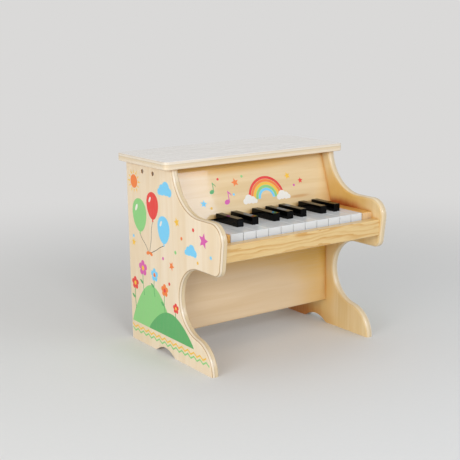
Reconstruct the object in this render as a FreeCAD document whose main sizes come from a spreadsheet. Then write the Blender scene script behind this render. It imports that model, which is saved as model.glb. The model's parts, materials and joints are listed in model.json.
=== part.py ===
import FreeCAD, Part
import math
import operator
import os
from types import SimpleNamespace

import Sketcher

# Wooden toy piano: an upright case with a keyboard of eighteen keys. Each key lifts a hammer,
# and the hammer strikes a metal tone bar from below.
# Frame: +X to the player's right, +Y to the back, +Z up. The origin is on the floor, in the
# middle of the overall width and depth. Sizes are in millimetres and angles in degrees.
SIZES = {
    # Case
    "overall_height": 300.0,
    "overall_depth": 265.0,  # nose of the arms to the rear edge of the lid
    "case_width": 307.0,  # over the outer faces of the two sides
    "side_thickness": 12.0,
    "side_edge_radius": 4.0,
    # Lid
    "lid_thickness": 12.5,
    "lid_side_overhang": 13.5,
    "lid_front_overhang": 5.6,  # past the tops of the shoulders
    "lid_rear_overhang": 2.5,
    "lid_corner_radius": 8.0,
    "lid_edge_radius": 1.6,
    # Outline of a side, with setbacks measured from the nose of the arms
    "shoulder_radius": 69.0,
    "shoulder_setback": 56.5,  # where the shoulder runs out into the top of the arm
    "arm_rise": 20.8,  # top of the arm above the keys
    "arm_height": 76.0,
    "nose_radius": 26.0,
    "nose_rake": 8.0,  # lean of the front of the arm
    "nose_lower_radius": 14.0,
    "knee_setback": 113.5,  # deepest point of the knee hollow
    "toe_setback": 28.5,
    "toe_radius": 47.0,
    "rear_foot_length": 78.5,
    "foot_arch_width": 53.0,
    "foot_arch_height": 10.0,
    "foot_arch_end_radius": 8.0,
    # Panels
    "front_panel_thickness": 9.0,
    "front_panel_gap": 2.3,  # above the keys
    "front_panel_inset": 19.8,  # behind the tops of the shoulders
    "front_panel_lean": 25.0,  # its top stands this far behind its bottom
    "lower_panel_thickness": 9.0,
    "lower_panel_bottom": 39.0,
    "lower_panel_inset": 18.0,  # behind the knee hollow
    "lower_panel_edge_radius": 2.0,
    "back_panel_thickness": 5.0,
    "back_panel_inset": 2.0,
    # Key bed and front rail
    "bed_thickness": 8.0,
    "rail_setback": 6.0,  # behind the nose of the arms
    "rail_thickness": 14.0,
    "rail_height": 25.0,
    "rail_edge_radius": 2.0,
    # Keys
    "key_drop": 82.3,  # from the underside of the lid to the tops of the keys
    "key_block_width": 18.9,
    "key_block_edge_radius": 1.2,
    "key_gap": 0.8,
    "key_thickness": 12.0,
    "key_bed_gap": 15.2,  # under the keys
    "key_front_gap": 3.3,  # behind the front rail
    "key_dip": 8.0,
    "key_edge_radius": 0.8,
    "sharp_setback": 35.0,  # behind the fronts of the white keys
    "sharp_back_gap": 6.0,  # in front of the front panel
    "sharp_width": 11.3,
    "sharp_height": 11.6,  # above the white keys
    "sharp_edge_radius": 1.0,
    # Key action
    "rod_diameter": 3.0,
    "running_clearance": 0.05,  # between a rod and its bore, on the radius
    "rod_end_gap": 0.5,
    "key_rod_setback": 144.0,  # behind the nose of the arms
    "fin_thickness": 1.2,
    "fin_side_gap": 0.54,
    "fin_depth": 12.0,
    "fin_crown": 5.0,  # from the middle of a rod to the top of the fins
    "comb_depth": 20.0,
    "comb_drop": 3.2,  # from the underside of the keys to the base of their comb
    "spring_thickness": 0.4,
    "spring_width": 6.0,
    "spring_reach": 40.0,  # from the front of the key comb to the tip of a spring
    "spring_gap": 0.2,  # between a tip and the key over it
    "stop_felt_width": 14.0,
    "stop_gap": 0.2,
    "rest_felt_width": 10.0,
    "rest_felt_thickness": 2.5,
    # Hammers
    "hammer_rod_inset": 24.5,  # in front of the rear edge of the sides
    "hammer_rod_rise": 3.0,  # above the tops of the keys
    "hammer_boss_radius": 4.5,
    "hammer_arm_width": 6.0,
    "hammer_arm_height": 5.0,
    "hammer_arm_lift": 1.0,  # from the middle of the rod to the underside of the arm
    "hammer_head_radius": 5.0,
    "hammer_head_width": 8.0,
    "strike_gap": 1.3,  # between a head and its bar at the end of the swing
    "hammer_ratio": 4.25,  # turn of a hammer over the turn of its key
    "heel_radius": 3.0,
    "heel_gap": 0.4,  # between a heel and the key tail under it
    "tail_overlap": 2.0,  # key tail past the heel
    # Tone bars
    "tone_board_drop": 12.2,  # from the underside of the lid to the middle of the board
    "tone_board_thickness": 12.0,
    "tone_board_gap": 7.6,  # behind the front panel
    "bar_rail_width": 8.0,
    "bar_rail_height": 20.0,
    "bar_felt_thickness": 2.0,
    "bar_thickness": 3.0,
    "bar_gap": 2.7,  # from bar to bar
    "bar_end_gap": 3.0,  # from the longest bar to the panels at its ends
    "nail_diameter": 2.2,
    "nail_depth": 12.0,  # into the rail
    "nail_head_diameter": 5.2,
    "nail_head_thickness": 1.0,
    "nail_head_gap": 0.3,
    "bar_hole_clearance": 0.7,
    # Fasteners
    "side_screw_diameter": 3.5,
    "side_screw_length": 26.0,
    "side_screw_head_diameter": 6.2,
    "side_screw_head_thickness": 2.5,
    "side_screw_recess": 0.8,
    "wood_screw_diameter": 3.0,
    "wood_screw_length": 16.0,
    "wood_screw_head_diameter": 6.0,
    "wood_screw_head_thickness": 1.6,
    "screw_clearance": 0.1,  # on the radius of a screw's hole
    "screw_head_clearance": 0.3,  # on the radius of a head's recess
    "thick_dowel_diameter": 6.0,
    "thin_dowel_diameter": 5.0,
    "dowel_length": 20.0,
    "dowel_side_depth": 7.0,  # into a side, or up into the lid
    "glue_gap": 0.1,  # around a dowel, and at each end of it
}

# The keyboard, low notes first, in the groups of whites that share their levers evenly
KEY_GROUPS = (
    ("b",),
    ("c", "c_sharp", "d", "d_sharp", "e"),
    ("f", "f_sharp", "g", "g_sharp", "a", "a_sharp", "b"),
    ("c", "c_sharp", "d", "d_sharp", "e"),
)
SEMITONES_PER_OCTAVE = 12
# A free bar stands still at this share of its length on either side of its middle
NODE_SHARE = 0.276
# Even spots for two or three fasteners along a joint, as shares of its length
TWO_SPOTS = (1 / 4, 3 / 4)
THREE_SPOTS = (1 / 6, 3 / 6, 5 / 6)
# The screws through a side lie at these shares of the tone bar board's depth, from its front
SIDE_SCREW_SPOTS = (0.187, 0.519)
DEGREES_PER_RADIAN = math.degrees(1)
TOLERANCE = 1e-4

Vector = FreeCAD.Vector
Rotation = FreeCAD.Rotation
TURNED_TO = {
    "x": Rotation(Vector(0, 1, 0), 90),
    "y": Rotation(Vector(1, 0, 0), -90),
    "z": Rotation(),
}
SIGNS = {"+": operator.add, "-": operator.sub, "*": operator.mul, "/": operator.truediv}

doc = FreeCAD.newDocument("toy_piano")
sheet = doc.addObject("Spreadsheet::Sheet", "Sizes")
parts = []


class Dim:
    """A length worked out from the sheet: its formula, and its value as the sheet stands."""

    def __init__(self, formula, value):
        self.formula = formula
        self.value = value

    def __add__(self, other):
        return combined(self, "+", other)

    def __radd__(self, other):
        return combined(other, "+", self)

    def __sub__(self, other):
        return combined(self, "-", other)

    def __rsub__(self, other):
        return combined(other, "-", self)

    def __mul__(self, other):
        return combined(self, "*", other)

    def __rmul__(self, other):
        return combined(other, "*", self)

    def __truediv__(self, other):
        return combined(self, "/", other)

    def __neg__(self):
        return combined(0, "-", self)


def dim(amount):
    return amount if isinstance(amount, Dim) else Dim(repr(amount), float(amount))


def combined(left, sign, right):
    left = dim(left)
    right = dim(right)
    return Dim(f"({left.formula} {sign} {right.formula})", SIGNS[sign](left.value, right.value))


def square_root(area):
    return Dim(f"sqrt({area.formula})", math.sqrt(area.value))


def sine(angle):
    return Dim(f"sin({angle.formula})", math.sin(math.radians(angle.value)))


def cosine(angle):
    return Dim(f"cos({angle.formula})", math.cos(math.radians(angle.value)))


def fill_sheet():
    """Writes the sizes into the sheet and reads them back with their formulas."""
    for row, (alias, value) in enumerate(SIZES.items(), start=1):
        sheet.set(f"A{row}", alias.replace("_", " "))
        sheet.set(f"B{row}", str(value))
        sheet.setAlias(f"B{row}", alias)
    doc.recompute()
    dims = {alias: Dim(f"Sizes.{alias}", float(sheet.get(alias))) for alias in SIZES}
    return SimpleNamespace(**dims)


size = fill_sheet()


# Shapes that the pieces are made of


def bind(feature, setting, amount):
    feature.setExpression(setting, dim(amount).formula)


def place(feature, x, y, z):
    for axis, amount in (("x", x), ("y", y), ("z", z)):
        bind(feature, f"Placement.Base.{axis}", amount)


def box(name, x, y, z):
    """A box between two limits along each axis."""
    feature = doc.addObject("Part::Box", name)
    for setting, (low, high) in (("Length", x), ("Width", y), ("Height", z)):
        bind(feature, setting, high - low)
    place(feature, x[0], y[0], z[0])
    return feature


def cylinder(name, axis, radius, start, length):
    """A cylinder that runs from its start along the axis."""
    feature = doc.addObject("Part::Cylinder", name)
    bind(feature, "Radius", radius)
    bind(feature, "Height", length)
    feature.Placement = FreeCAD.Placement(Vector(), TURNED_TO[axis])
    place(feature, *start)
    return feature


def group(name, features):
    feature = doc.addObject("Part::Compound", name)
    feature.Links = features
    return feature


def fuse(name, features):
    feature = doc.addObject("Part::MultiFuse", name)
    feature.Shapes = features
    feature.Refine = True
    return feature


def cut(name, base, tools):
    feature = doc.addObject("Part::Cut", name)
    feature.Base = base
    feature.Tool = tools[0] if len(tools) == 1 else group(f"{name}_cuts", tools)
    return feature


def part(label, feature):
    feature.Label = label
    parts.append(feature)
    return feature


def left_turn(radius):
    return radius, 1


def right_turn(radius):
    return radius, -1


def arc_between(start, stop, radius, turn):
    """The shorter arc from start to stop, with its centre on the side that it turns to."""
    chord = stop - start
    to_left = Vector(-chord.y, chord.x, 0).normalize()
    rise = math.sqrt(max(radius**2 - (chord.Length / 2) ** 2, 0))
    middle = (start + stop) * 0.5 + to_left * (turn * rise)
    first, last = (start, stop) if turn > 0 else (stop, start)
    angles = [math.atan2(point.y - middle.y, point.x - middle.x) for point in (first, last)]
    if angles[1] < angles[0]:
        angles[1] += 2 * math.pi
    return Part.ArcOfCircle(Part.Circle(middle, Vector(0, 0, 1), radius), *angles)


def constrain(sketch, kind, *where, amount):
    index = sketch.addConstraint(Sketcher.Constraint(kind, *where, amount.value))
    sketch.setExpression(f"Constraints[{index}]", amount.formula)


def outline(body, name, plane, points):
    """A closed sketch through the points, each with the bend of the line that leaves it, or None."""
    sketch = body.newObject("Sketcher::SketchObject", name)
    origin_plane = [item for item in body.Origin.OriginFeatures if item.Role == plane]
    sketch.AttachmentSupport = [(origin_plane[0], "")]
    sketch.MapMode = "FlatFace"
    corners = [Vector(dim(across).value, dim(up).value, 0) for across, up, bend in points]
    ends = []
    for index, (across, up, bend) in enumerate(points):
        start = corners[index]
        stop = corners[(index + 1) % len(corners)]
        if bend is None:
            line = sketch.addGeometry(Part.LineSegment(start, stop))
            ends.append(((line, 1), (line, 2)))
            continue
        radius, turn = bend
        line = sketch.addGeometry(arc_between(start, stop, radius.value, turn))
        constrain(sketch, "Radius", line, amount=radius)
        ends.append(((line, 1), (line, 2)) if turn > 0 else ((line, 2), (line, 1)))
    for index, (across, up, bend) in enumerate(points):
        corner = ends[index][0]
        sketch.addConstraint(Sketcher.Constraint("Coincident", *ends[index - 1][1], *corner))
        constrain(sketch, "DistanceX", -1, 1, *corner, amount=dim(across))
        constrain(sketch, "DistanceY", -1, 1, *corner, amount=dim(up))
    return sketch


def padded(name, plane, points, depth):
    """A body whose first feature is an outline given depth."""
    body = doc.addObject("PartDesign::Body", name)
    pad = body.newObject("PartDesign::Pad", f"{name}_pad")
    pad.Profile = outline(body, f"{name}_outline", plane, points)
    bind(pad, "Length", depth)
    return body


def rounded(body, radius, is_rounded):
    """Rounds the edges of a body that pass the test, which is given each edge's bounding box."""
    doc.recompute()
    base = body.Tip
    numbered = enumerate(base.Shape.Edges, start=1)
    edges = [f"Edge{number}" for number, edge in numbered if is_rounded(edge.BoundBox)]
    if not edges:
        raise ValueError(f"no edge to round on {body.Name}")
    fillet = body.newObject("PartDesign::Fillet", f"{body.Name}_rounding")
    fillet.Base = (base, edges)
    bind(fillet, "Radius", radius)
    return body


def rectangle(x, y):
    return [(x[0], y[0], None), (x[1], y[0], None), (x[1], y[1], None), (x[0], y[1], None)]


# Places that several pieces share
front = -size.overall_depth / 2
back = size.overall_depth / 2
case_back = back - size.lid_rear_overhang
side_top = size.overall_height - size.lid_thickness
case_half = size.case_width / 2
inside_half = case_half - size.side_thickness
inside = (-inside_half, inside_half)
key_top = side_top - size.key_drop
key_bottom = key_top - size.key_thickness
bed_top = key_bottom - size.key_bed_gap
bed_bottom = bed_top - size.bed_thickness
arm_top = key_top + size.arm_rise
arm_bottom = arm_top - size.arm_height
rail_front = front + size.rail_setback
rail_back = rail_front + size.rail_thickness

shoulder_y = front + size.shoulder_setback
shoulder_drop = arm_top + size.shoulder_radius - side_top
shoulder_top_y = shoulder_y + square_root(
    size.shoulder_radius * size.shoulder_radius - shoulder_drop * shoulder_drop
)
knee_back = front + size.knee_setback
lower_panel_front = knee_back + size.lower_panel_inset
back_panel_front = case_back - size.back_panel_inset - size.back_panel_thickness
front_panel_head = shoulder_top_y + size.front_panel_inset
front_panel_foot = front_panel_head - size.front_panel_lean
front_panel_bottom = key_top + size.front_panel_gap
front_panel_rise = side_top - front_panel_bottom
front_panel_slope = size.front_panel_lean / front_panel_rise
# Thickness of the tilted front panel measured level, from front to back
front_panel_span = size.front_panel_thickness * square_root(1 + front_panel_slope * front_panel_slope)

key_front = rail_back + size.key_front_gap
key_rod_y = front + size.key_rod_setback
key_rod_z = key_top - size.key_thickness / 2
key_comb_y = (key_rod_y - size.comb_depth / 2, key_rod_y + size.comb_depth / 2)
key_comb_z = (bed_top + size.spring_thickness, key_bottom - size.comb_drop)
lever_start = key_rod_y - size.fin_depth / 2 - size.key_gap
sharp_front = key_front + size.sharp_setback
sharp_back = front_panel_foot - size.sharp_back_gap
keyboard_half = inside_half - size.key_block_width - size.key_gap / 2
rod_radius = size.rod_diameter / 2

tone_board_z = side_top - size.tone_board_drop
tone_board_bottom = tone_board_z - size.tone_board_thickness / 2
tone_board_front = front_panel_head + front_panel_span + size.tone_board_gap
bar_rail_bottom = tone_board_bottom - size.bar_rail_height
bar_top = bar_rail_bottom - size.bar_felt_thickness
bar_bottom = bar_top - size.bar_thickness
panel_back_at_bars = front_panel_foot + front_panel_slope * (bar_top - front_panel_bottom) + front_panel_span
bar_front = panel_back_at_bars + size.bar_end_gap
bar_back = back_panel_front - size.bar_end_gap
bar_middle = (bar_front + bar_back) / 2
longest_bar = bar_back - bar_front

hammer_rod_y = case_back - size.hammer_rod_inset
hammer_rod_z = key_top + size.hammer_rod_rise
heel_reach = (hammer_rod_y - key_rod_y) / (1 + size.hammer_ratio)
heel_y = hammer_rod_y - heel_reach
heel_z = key_top + size.heel_gap + size.heel_radius
tail_end = heel_y + size.tail_overlap
rest_top = key_bottom - size.stop_gap
hammer_comb_top = rest_top - size.rest_felt_thickness
hammer_comb_front = tail_end - size.rest_felt_width - size.tail_overlap
# A hammer's head ends its swing under the middle of the bars, and is turned back from there to rest
key_swing = size.key_dip / (key_rod_y - key_front) * DEGREES_PER_RADIAN
hammer_swing = key_swing * size.hammer_ratio
strike_reach = hammer_rod_y - bar_middle
strike_rise = bar_bottom - size.strike_gap - size.hammer_head_radius - hammer_rod_z
hammer_reach = strike_reach * cosine(hammer_swing) + strike_rise * sine(hammer_swing)
hammer_head_rise = strike_rise * cosine(hammer_swing) - strike_reach * sine(hammer_swing)


def layout_keys():
    """Each key's place along the keyboard: its lever's cell and, on a white key, its head."""
    white_count = sum(not note.endswith("sharp") for notes in KEY_GROUPS for note in notes)
    white_pitch = 2 * keyboard_half / white_count
    keys = []
    whites_so_far = 0
    for notes in KEY_GROUPS:
        whites = sum(not note.endswith("sharp") for note in notes)
        group_left = whites_so_far * white_pitch - keyboard_half
        cell_pitch = white_pitch * whites / len(notes)
        for index, note in enumerate(notes):
            cell_left = group_left + cell_pitch * index
            key = SimpleNamespace(label=f"key_{len(keys) + 1:02d}_{note}")
            key.is_sharp = note.endswith("sharp")
            key.cell = (cell_left, cell_left + cell_pitch)
            key.middle = cell_left + cell_pitch / 2
            key.pitch = cell_pitch
            if not key.is_sharp:
                head_left = whites_so_far * white_pitch - keyboard_half
                key.head = (head_left + size.key_gap / 2, head_left + white_pitch - size.key_gap / 2)
                whites_so_far += 1
            keys.append(key)
    return keys


keys = layout_keys()
narrowest_pitch = min((key.pitch for key in keys), key=lambda pitch: pitch.value)
lever_half = (narrowest_pitch - size.fin_thickness) / 2 - size.fin_side_gap
fin_middles = [key.cell[0] for key in keys] + [keys[-1].cell[1]]


# Case


def side_outline():
    """Outline of a side from its rear bottom corner, seen from the player's right."""
    lean_y = -cosine(size.nose_rake)
    lean_z = -sine(size.nose_rake)
    nose_y = front + size.nose_radius
    nose_z = arm_top - size.nose_radius
    chin_z = arm_bottom + size.nose_lower_radius
    chin_reach = size.nose_radius - size.nose_lower_radius - lean_z * (chin_z - nose_z)
    chin_y = nose_y + chin_reach / lean_y
    # The toe's curve stands square on the floor, and the knee hollow's curve runs from it to the arm
    toe_y = front + size.toe_setback
    toe_middle = toe_y + size.toe_radius
    across = knee_back - toe_middle
    total = across + arm_bottom + size.toe_radius
    rest = across * across + arm_bottom * arm_bottom - size.toe_radius * size.toe_radius
    knee_radius = total - square_root(total * total - rest)
    knee_y = knee_back - knee_radius
    knee_z = arm_bottom - knee_radius
    share = knee_radius / (knee_radius + size.toe_radius)
    meeting_y = knee_y + (toe_middle - knee_y) * share
    meeting_z = knee_z - knee_z * share
    arch_back = case_back - size.rear_foot_length
    arch_half = size.foot_arch_width / 2
    arch_radius = (arch_half * arch_half + size.foot_arch_height * size.foot_arch_height) / (
        2 * size.foot_arch_height
    )
    return [
        (case_back, 0, None),
        (case_back, side_top, None),
        (shoulder_top_y, side_top, right_turn(size.shoulder_radius)),
        (shoulder_y, arm_top, None),
        (nose_y, arm_top, left_turn(size.nose_radius)),
        (nose_y + size.nose_radius * lean_y, nose_z + size.nose_radius * lean_z, None),
        (
            chin_y + size.nose_lower_radius * lean_y,
            chin_z + size.nose_lower_radius * lean_z,
            left_turn(size.nose_lower_radius),
        ),
        (chin_y, arm_bottom, None),
        (knee_y, arm_bottom, right_turn(knee_radius)),
        (knee_back, knee_z, right_turn(knee_radius)),
        (meeting_y, meeting_z, left_turn(size.toe_radius)),
        (toe_y, 0, None),
        (arch_back - size.foot_arch_width, 0, right_turn(arch_radius)),
        (arch_back, 0, None),
    ]


def side_panel(label, outer_x, holes):
    """One side, with its long edges rounded over on both faces."""
    body = padded(f"{label}_board", "YZ_Plane", side_outline(), size.side_thickness)
    bind(body, "Placement.Base.x", outer_x)
    arch_middle = case_back - size.rear_foot_length - size.foot_arch_width / 2

    def is_arch_end(limits):
        on_floor = limits.ZMax < TOLERANCE and limits.YLength < TOLERANCE
        return on_floor and abs(limits.YMin - arch_middle.value) < size.foot_arch_width.value

    def is_long_edge(limits):
        on_a_face = limits.XLength < TOLERANCE
        at_top = limits.ZMin > side_top.value - TOLERANCE
        at_floor = limits.ZMax < size.foot_arch_height.value + TOLERANCE
        return on_a_face and not at_top and not at_floor

    rounded(body, size.foot_arch_end_radius, is_arch_end)
    rounded(body, size.side_edge_radius, is_long_edge)
    return part(label, cut(label, body, holes))


def top_board(holes):
    half = case_half + size.lid_side_overhang
    corner = size.lid_corner_radius
    low = shoulder_top_y - size.lid_front_overhang
    bend = left_turn(corner)
    points = [
        (corner - half, low, None),
        (half - corner, low, bend),
        (half, low + corner, None),
        (half, back - corner, bend),
        (half - corner, back, None),
        (corner - half, back, bend),
        (-half, back - corner, None),
        (-half, low + corner, bend),
    ]
    body = padded("top_board_blank", "XY_Plane", points, size.lid_thickness)
    bind(body, "Placement.Base.z", side_top)
    rounded(body, size.lid_edge_radius, lambda limits: limits.ZLength < TOLERANCE)
    return part("top_board", cut("top_board", body, holes))


def front_panel(holes):
    """The tilted board above the keys, level along its top and bottom edges."""
    points = [
        (front_panel_foot, front_panel_bottom, None),
        (front_panel_foot + front_panel_span, front_panel_bottom, None),
        (front_panel_head + front_panel_span, side_top, None),
        (front_panel_head, side_top, None),
    ]
    body = padded("front_panel_board", "YZ_Plane", points, 2 * inside_half)
    bind(body, "Placement.Base.x", -inside_half)
    return part("front_panel", cut("front_panel", body, holes))


def lower_panel(holes):
    y = (lower_panel_front, lower_panel_front + size.lower_panel_thickness)
    height = bed_bottom - size.lower_panel_bottom
    body = padded("lower_panel_board", "XY_Plane", rectangle(inside, y), height)
    bind(body, "Placement.Base.z", size.lower_panel_bottom)

    def is_bottom_edge(limits):
        return limits.ZMax < TOLERANCE and limits.YLength < TOLERANCE

    rounded(body, size.lower_panel_edge_radius, is_bottom_edge)
    return part("lower_panel", cut("lower_panel", body, holes))


def front_rail(holes):
    plan = rectangle(inside, (rail_front, rail_back))
    body = padded("front_rail_strip", "XY_Plane", plan, size.rail_height)
    bind(body, "Placement.Base.z", bed_bottom)

    def is_front_edge(limits):
        return limits.YMax < rail_front.value + TOLERANCE and limits.ZLength < TOLERANCE

    rounded(body, size.rail_edge_radius, is_front_edge)
    return part("front_rail", cut("front_rail", body, holes))


def key_blocks():
    for label, x in (
        ("left_key_block", (-inside_half, size.key_block_width - inside_half)),
        ("right_key_block", (inside_half - size.key_block_width, inside_half)),
    ):
        height = key_top - bed_top
        body = padded(f"{label}_strip", "XY_Plane", rectangle(x, (key_front, lower_panel_front)), height)
        bind(body, "Placement.Base.z", bed_top)

        def is_top_edge(limits):
            return limits.ZMin > height.value - TOLERANCE

        rounded(body, size.key_block_edge_radius, is_top_edge)
        part(label, body)


# Fasteners, each made with the hole that takes it


def dowel(spot, diameter, axis, start):
    """A dowel and its hole, a little larger all round."""
    gap = size.glue_gap
    peg = cylinder(f"dowel_{spot}", axis, diameter / 2, start, size.dowel_length)
    hole_start = [amount - gap if name == axis else amount for name, amount in zip("xyz", start)]
    hole = cylinder(f"dowel_hole_{spot}", axis, diameter / 2 + gap, hole_start, size.dowel_length + 2 * gap)
    return peg, hole


def case_dowels():
    """Dowels that hold the boards together, and their holes by board and by side."""
    thick = size.thick_dowel_diameter
    thin = size.thin_dowel_diameter
    rail_y = (rail_front + rail_back) / 2
    lower_y = lower_panel_front + size.lower_panel_thickness / 2
    lower_rise = bed_bottom - size.lower_panel_bottom
    bed_z = bed_bottom + size.bed_thickness / 2
    bed_depth = back_panel_front - rail_back
    panel_y = front_panel_foot + front_panel_span / 2
    # The spots in the plane of a side, each as its y and z
    rail_spots = [(rail_y, bed_bottom + size.rail_height * share) for share in TWO_SPOTS]
    lower_spots = [(lower_y, size.lower_panel_bottom + lower_rise * share) for share in THREE_SPOTS]
    bed_spots = [(rail_back + bed_depth * share, bed_z) for share in THREE_SPOTS]
    panel_spots = [
        (panel_y + size.front_panel_lean * share, front_panel_bottom + front_panel_rise * share)
        for share in TWO_SPOTS
    ]
    end_joints = (
        ("front_rail", thick, rail_spots),
        ("lower_panel", thin, lower_spots),
        ("key_bed", thin, bed_spots),
        ("front_panel", thin, panel_spots),
    )
    pegs = []
    holes = {"left": [], "right": [], "top_board": []}
    starts = {
        "left": -inside_half - size.dowel_side_depth,
        "right": inside_half + size.dowel_side_depth - size.dowel_length,
    }
    for board, diameter, spots in end_joints:
        holes[board] = []
        for side, start_x in starts.items():
            for number, (y, z) in enumerate(spots):
                peg, hole = dowel(f"{board}_{side}_{number}", diameter, "x", (start_x, y, z))
                pegs.append(peg)
                holes[board].append(hole)
                holes[side].append(hole)
    lid_start = side_top + size.dowel_side_depth - size.dowel_length
    top_depth = case_back - shoulder_top_y
    for side, sign in (("left", -1), ("right", 1)):
        x = sign * (case_half - size.side_thickness / 2)
        for number, share in enumerate(TWO_SPOTS):
            y = case_back - top_depth * share
            peg, hole = dowel(f"top_board_{side}_{number}", thick, "z", (x, y, lid_start))
            pegs.append(peg)
            holes["top_board"].append(hole)
            holes[side].append(hole)
    return pegs, holes


def side_screws():
    """Screws through the sides into the ends of the tone bar board, recessed in the sides."""
    screws = []
    holes = {"left": [], "right": [], "tone_bar_board": []}
    head_radius = size.side_screw_head_diameter / 2
    shank_radius = size.side_screw_diameter / 2
    recess = size.side_screw_recess + size.side_screw_head_thickness
    board_depth = back_panel_front - tone_board_front
    for side, sign in (("left", 1), ("right", -1)):
        for number, share in enumerate(SIDE_SCREW_SPOTS):
            y = tone_board_front + board_depth * share
            spot = f"side_screw_{side}_{number}"

            def along(name, radius, inset, length):
                """A round of the screw or of its hole, by how far in from the outer face it starts."""
                start_x = (inset if sign > 0 else inset + length) * sign - case_half * sign
                return cylinder(f"{spot}_{name}", "x", radius, (start_x, y, tone_board_z), length)

            head = along("head", head_radius, size.side_screw_recess, size.side_screw_head_thickness)
            shank = along("shank", shank_radius, size.side_screw_recess, size.side_screw_length)
            screws.append(fuse(spot, [head, shank]))
            holes[side].append(along("recess", head_radius + size.screw_head_clearance, 0, recess))
            bore = along("bore", shank_radius + size.screw_clearance, 0, recess + size.side_screw_length)
            holes[side].append(bore)
            holes["tone_bar_board"].append(bore)
    return screws, holes


def wood_screw(spot, axis, x, y, z):
    """A round-headed screw that points along an axis from its seat, and the hole for it."""
    radius = size.wood_screw_diameter / 2
    length = size.wood_screw_length
    head = size.wood_screw_head_thickness
    hole_length = length + size.screw_clearance
    if axis == "y":
        head_start, shank_start, hole_start = (x, y, z), (x, y - length, z), (x, y - hole_length, z)
    else:
        head_start, shank_start, hole_start = (x, y, z - head), (x, y, z), (x, y, z)
    solids = [
        cylinder(f"{spot}_head", axis, size.wood_screw_head_diameter / 2, head_start, head),
        cylinder(f"{spot}_shank", axis, radius, shank_start, length),
    ]
    hole = cylinder(f"{spot}_bore", axis, radius + size.screw_clearance, hole_start, hole_length)
    return fuse(spot, solids), hole


def wood_screws():
    """Screws that hold the back panel on, and the combs down on the key bed."""
    screws = []
    holes = {"key_bed": [], "tone_bar_board": [], "key_comb": [], "hammer_comb": []}
    panel_back = case_back - size.back_panel_inset
    rows = (("key_bed", bed_bottom + size.bed_thickness / 2), ("tone_bar_board", tone_board_z))
    for board, z in rows:
        for column in (-3, -1, 1, 3):
            spot = f"back_screw_{board}_{column + 3}"
            screw, hole = wood_screw(spot, "y", inside_half * column / 4, panel_back, z)
            screws.append(screw)
            holes[board].append(hole)
    for comb_label, y in (("key_comb", key_rod_y), ("hammer_comb", hammer_rod_y)):
        for column in (-1, 0, 1):
            spot = f"{comb_label}_screw_{column + 1}"
            screw, hole = wood_screw(spot, "z", keyboard_half * column * 3 / 4, y, bed_bottom)
            screws.append(screw)
            holes[comb_label].append(hole)
    return screws, holes


# Keys


def lever_outline(key, front_points_right, front_points_left):
    """A key seen from above: what shows in front of the comb, then the lever back to its tail."""
    left = key.middle - lever_half
    right = key.middle + lever_half
    return [
        *front_points_right,
        (right, lever_start, None),
        (right, tail_end, None),
        (left, tail_end, None),
        (left, lever_start, None),
        *front_points_left,
    ]


def white_key_outline(index, key):
    """A white key: a full width head, then the shank that is left between the sharps."""
    notch = sharp_front - size.key_gap
    clearance = size.sharp_width / 2 + size.key_gap
    left, right = key.head
    has_sharp_left = index > 0 and keys[index - 1].is_sharp
    has_sharp_right = index + 1 < len(keys) and keys[index + 1].is_sharp
    right_points = [(left, key_front, None), (right, key_front, None)]
    left_points = []
    if has_sharp_right:
        right_points.append((right, notch, None))
        right = keys[index + 1].middle - clearance
        right_points.append((right, notch, None))
    right_points.append((right, lever_start, None))
    if has_sharp_left:
        shank_left = keys[index - 1].middle + clearance
        left_points = [(shank_left, lever_start, None), (shank_left, notch, None), (left, notch, None)]
    else:
        left_points = [(left, lever_start, None)]
    return lever_outline(key, right_points, left_points)


def white_key(index, key):
    body = padded(f"{key.label}_wood", "XY_Plane", white_key_outline(index, key), size.key_thickness)
    bind(body, "Placement.Base.z", key_bottom)

    def is_shown_edge(limits):
        on_top = limits.ZMin > size.key_thickness.value - TOLERANCE
        at_front = limits.YMax < key_front.value + TOLERANCE
        on_head = limits.YMax < sharp_front.value
        return at_front or (on_top and on_head and limits.XLength < TOLERANCE)

    return rounded(body, size.key_edge_radius, is_shown_edge)


def black_key(key):
    """A black key: a lever with a block on top that ends short of the front panel."""
    half = size.sharp_width / 2
    left = key.middle - half
    right = key.middle + half
    right_points = [(left, sharp_front, None), (right, sharp_front, None), (right, lever_start, None)]
    points = lever_outline(key, right_points, [(left, lever_start, None)])
    body = padded(f"{key.label}_wood", "XY_Plane", points, size.key_thickness)
    bind(body, "Placement.Base.z", key_bottom)
    cap = body.newObject("PartDesign::Pad", f"{key.label}_cap")
    cap_y = (sharp_front, sharp_back)
    cap.Profile = outline(body, f"{key.label}_cap_outline", "XY_Plane", rectangle((left, right), cap_y))
    bind(cap, "Length", size.key_thickness + size.sharp_height)

    def is_cap_edge(limits):
        on_top = limits.ZMin > size.key_thickness.value + TOLERANCE
        upright_at_front = limits.ZLength > TOLERANCE and limits.YMax < sharp_front.value + TOLERANCE
        return on_top or upright_at_front

    return rounded(body, size.sharp_edge_radius, is_cap_edge)


def key_parts():
    bore_radius = rod_radius + size.running_clearance
    for index, key in enumerate(keys):
        body = black_key(key) if key.is_sharp else white_key(index, key)
        bore = cylinder(
            f"{key.label}_bore", "x", bore_radius, (key.cell[0], key_rod_y, key_rod_z), key.pitch
        )
        part(key.label, cut(key.label, body, [bore]))


def rod(label, y, z):
    """A steel rod that runs from side to side of the case."""
    start = size.rod_end_gap - inside_half
    return part(label, cylinder(label, "x", rod_radius, (start, y, z), 2 * (inside_half - size.rod_end_gap)))


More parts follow.
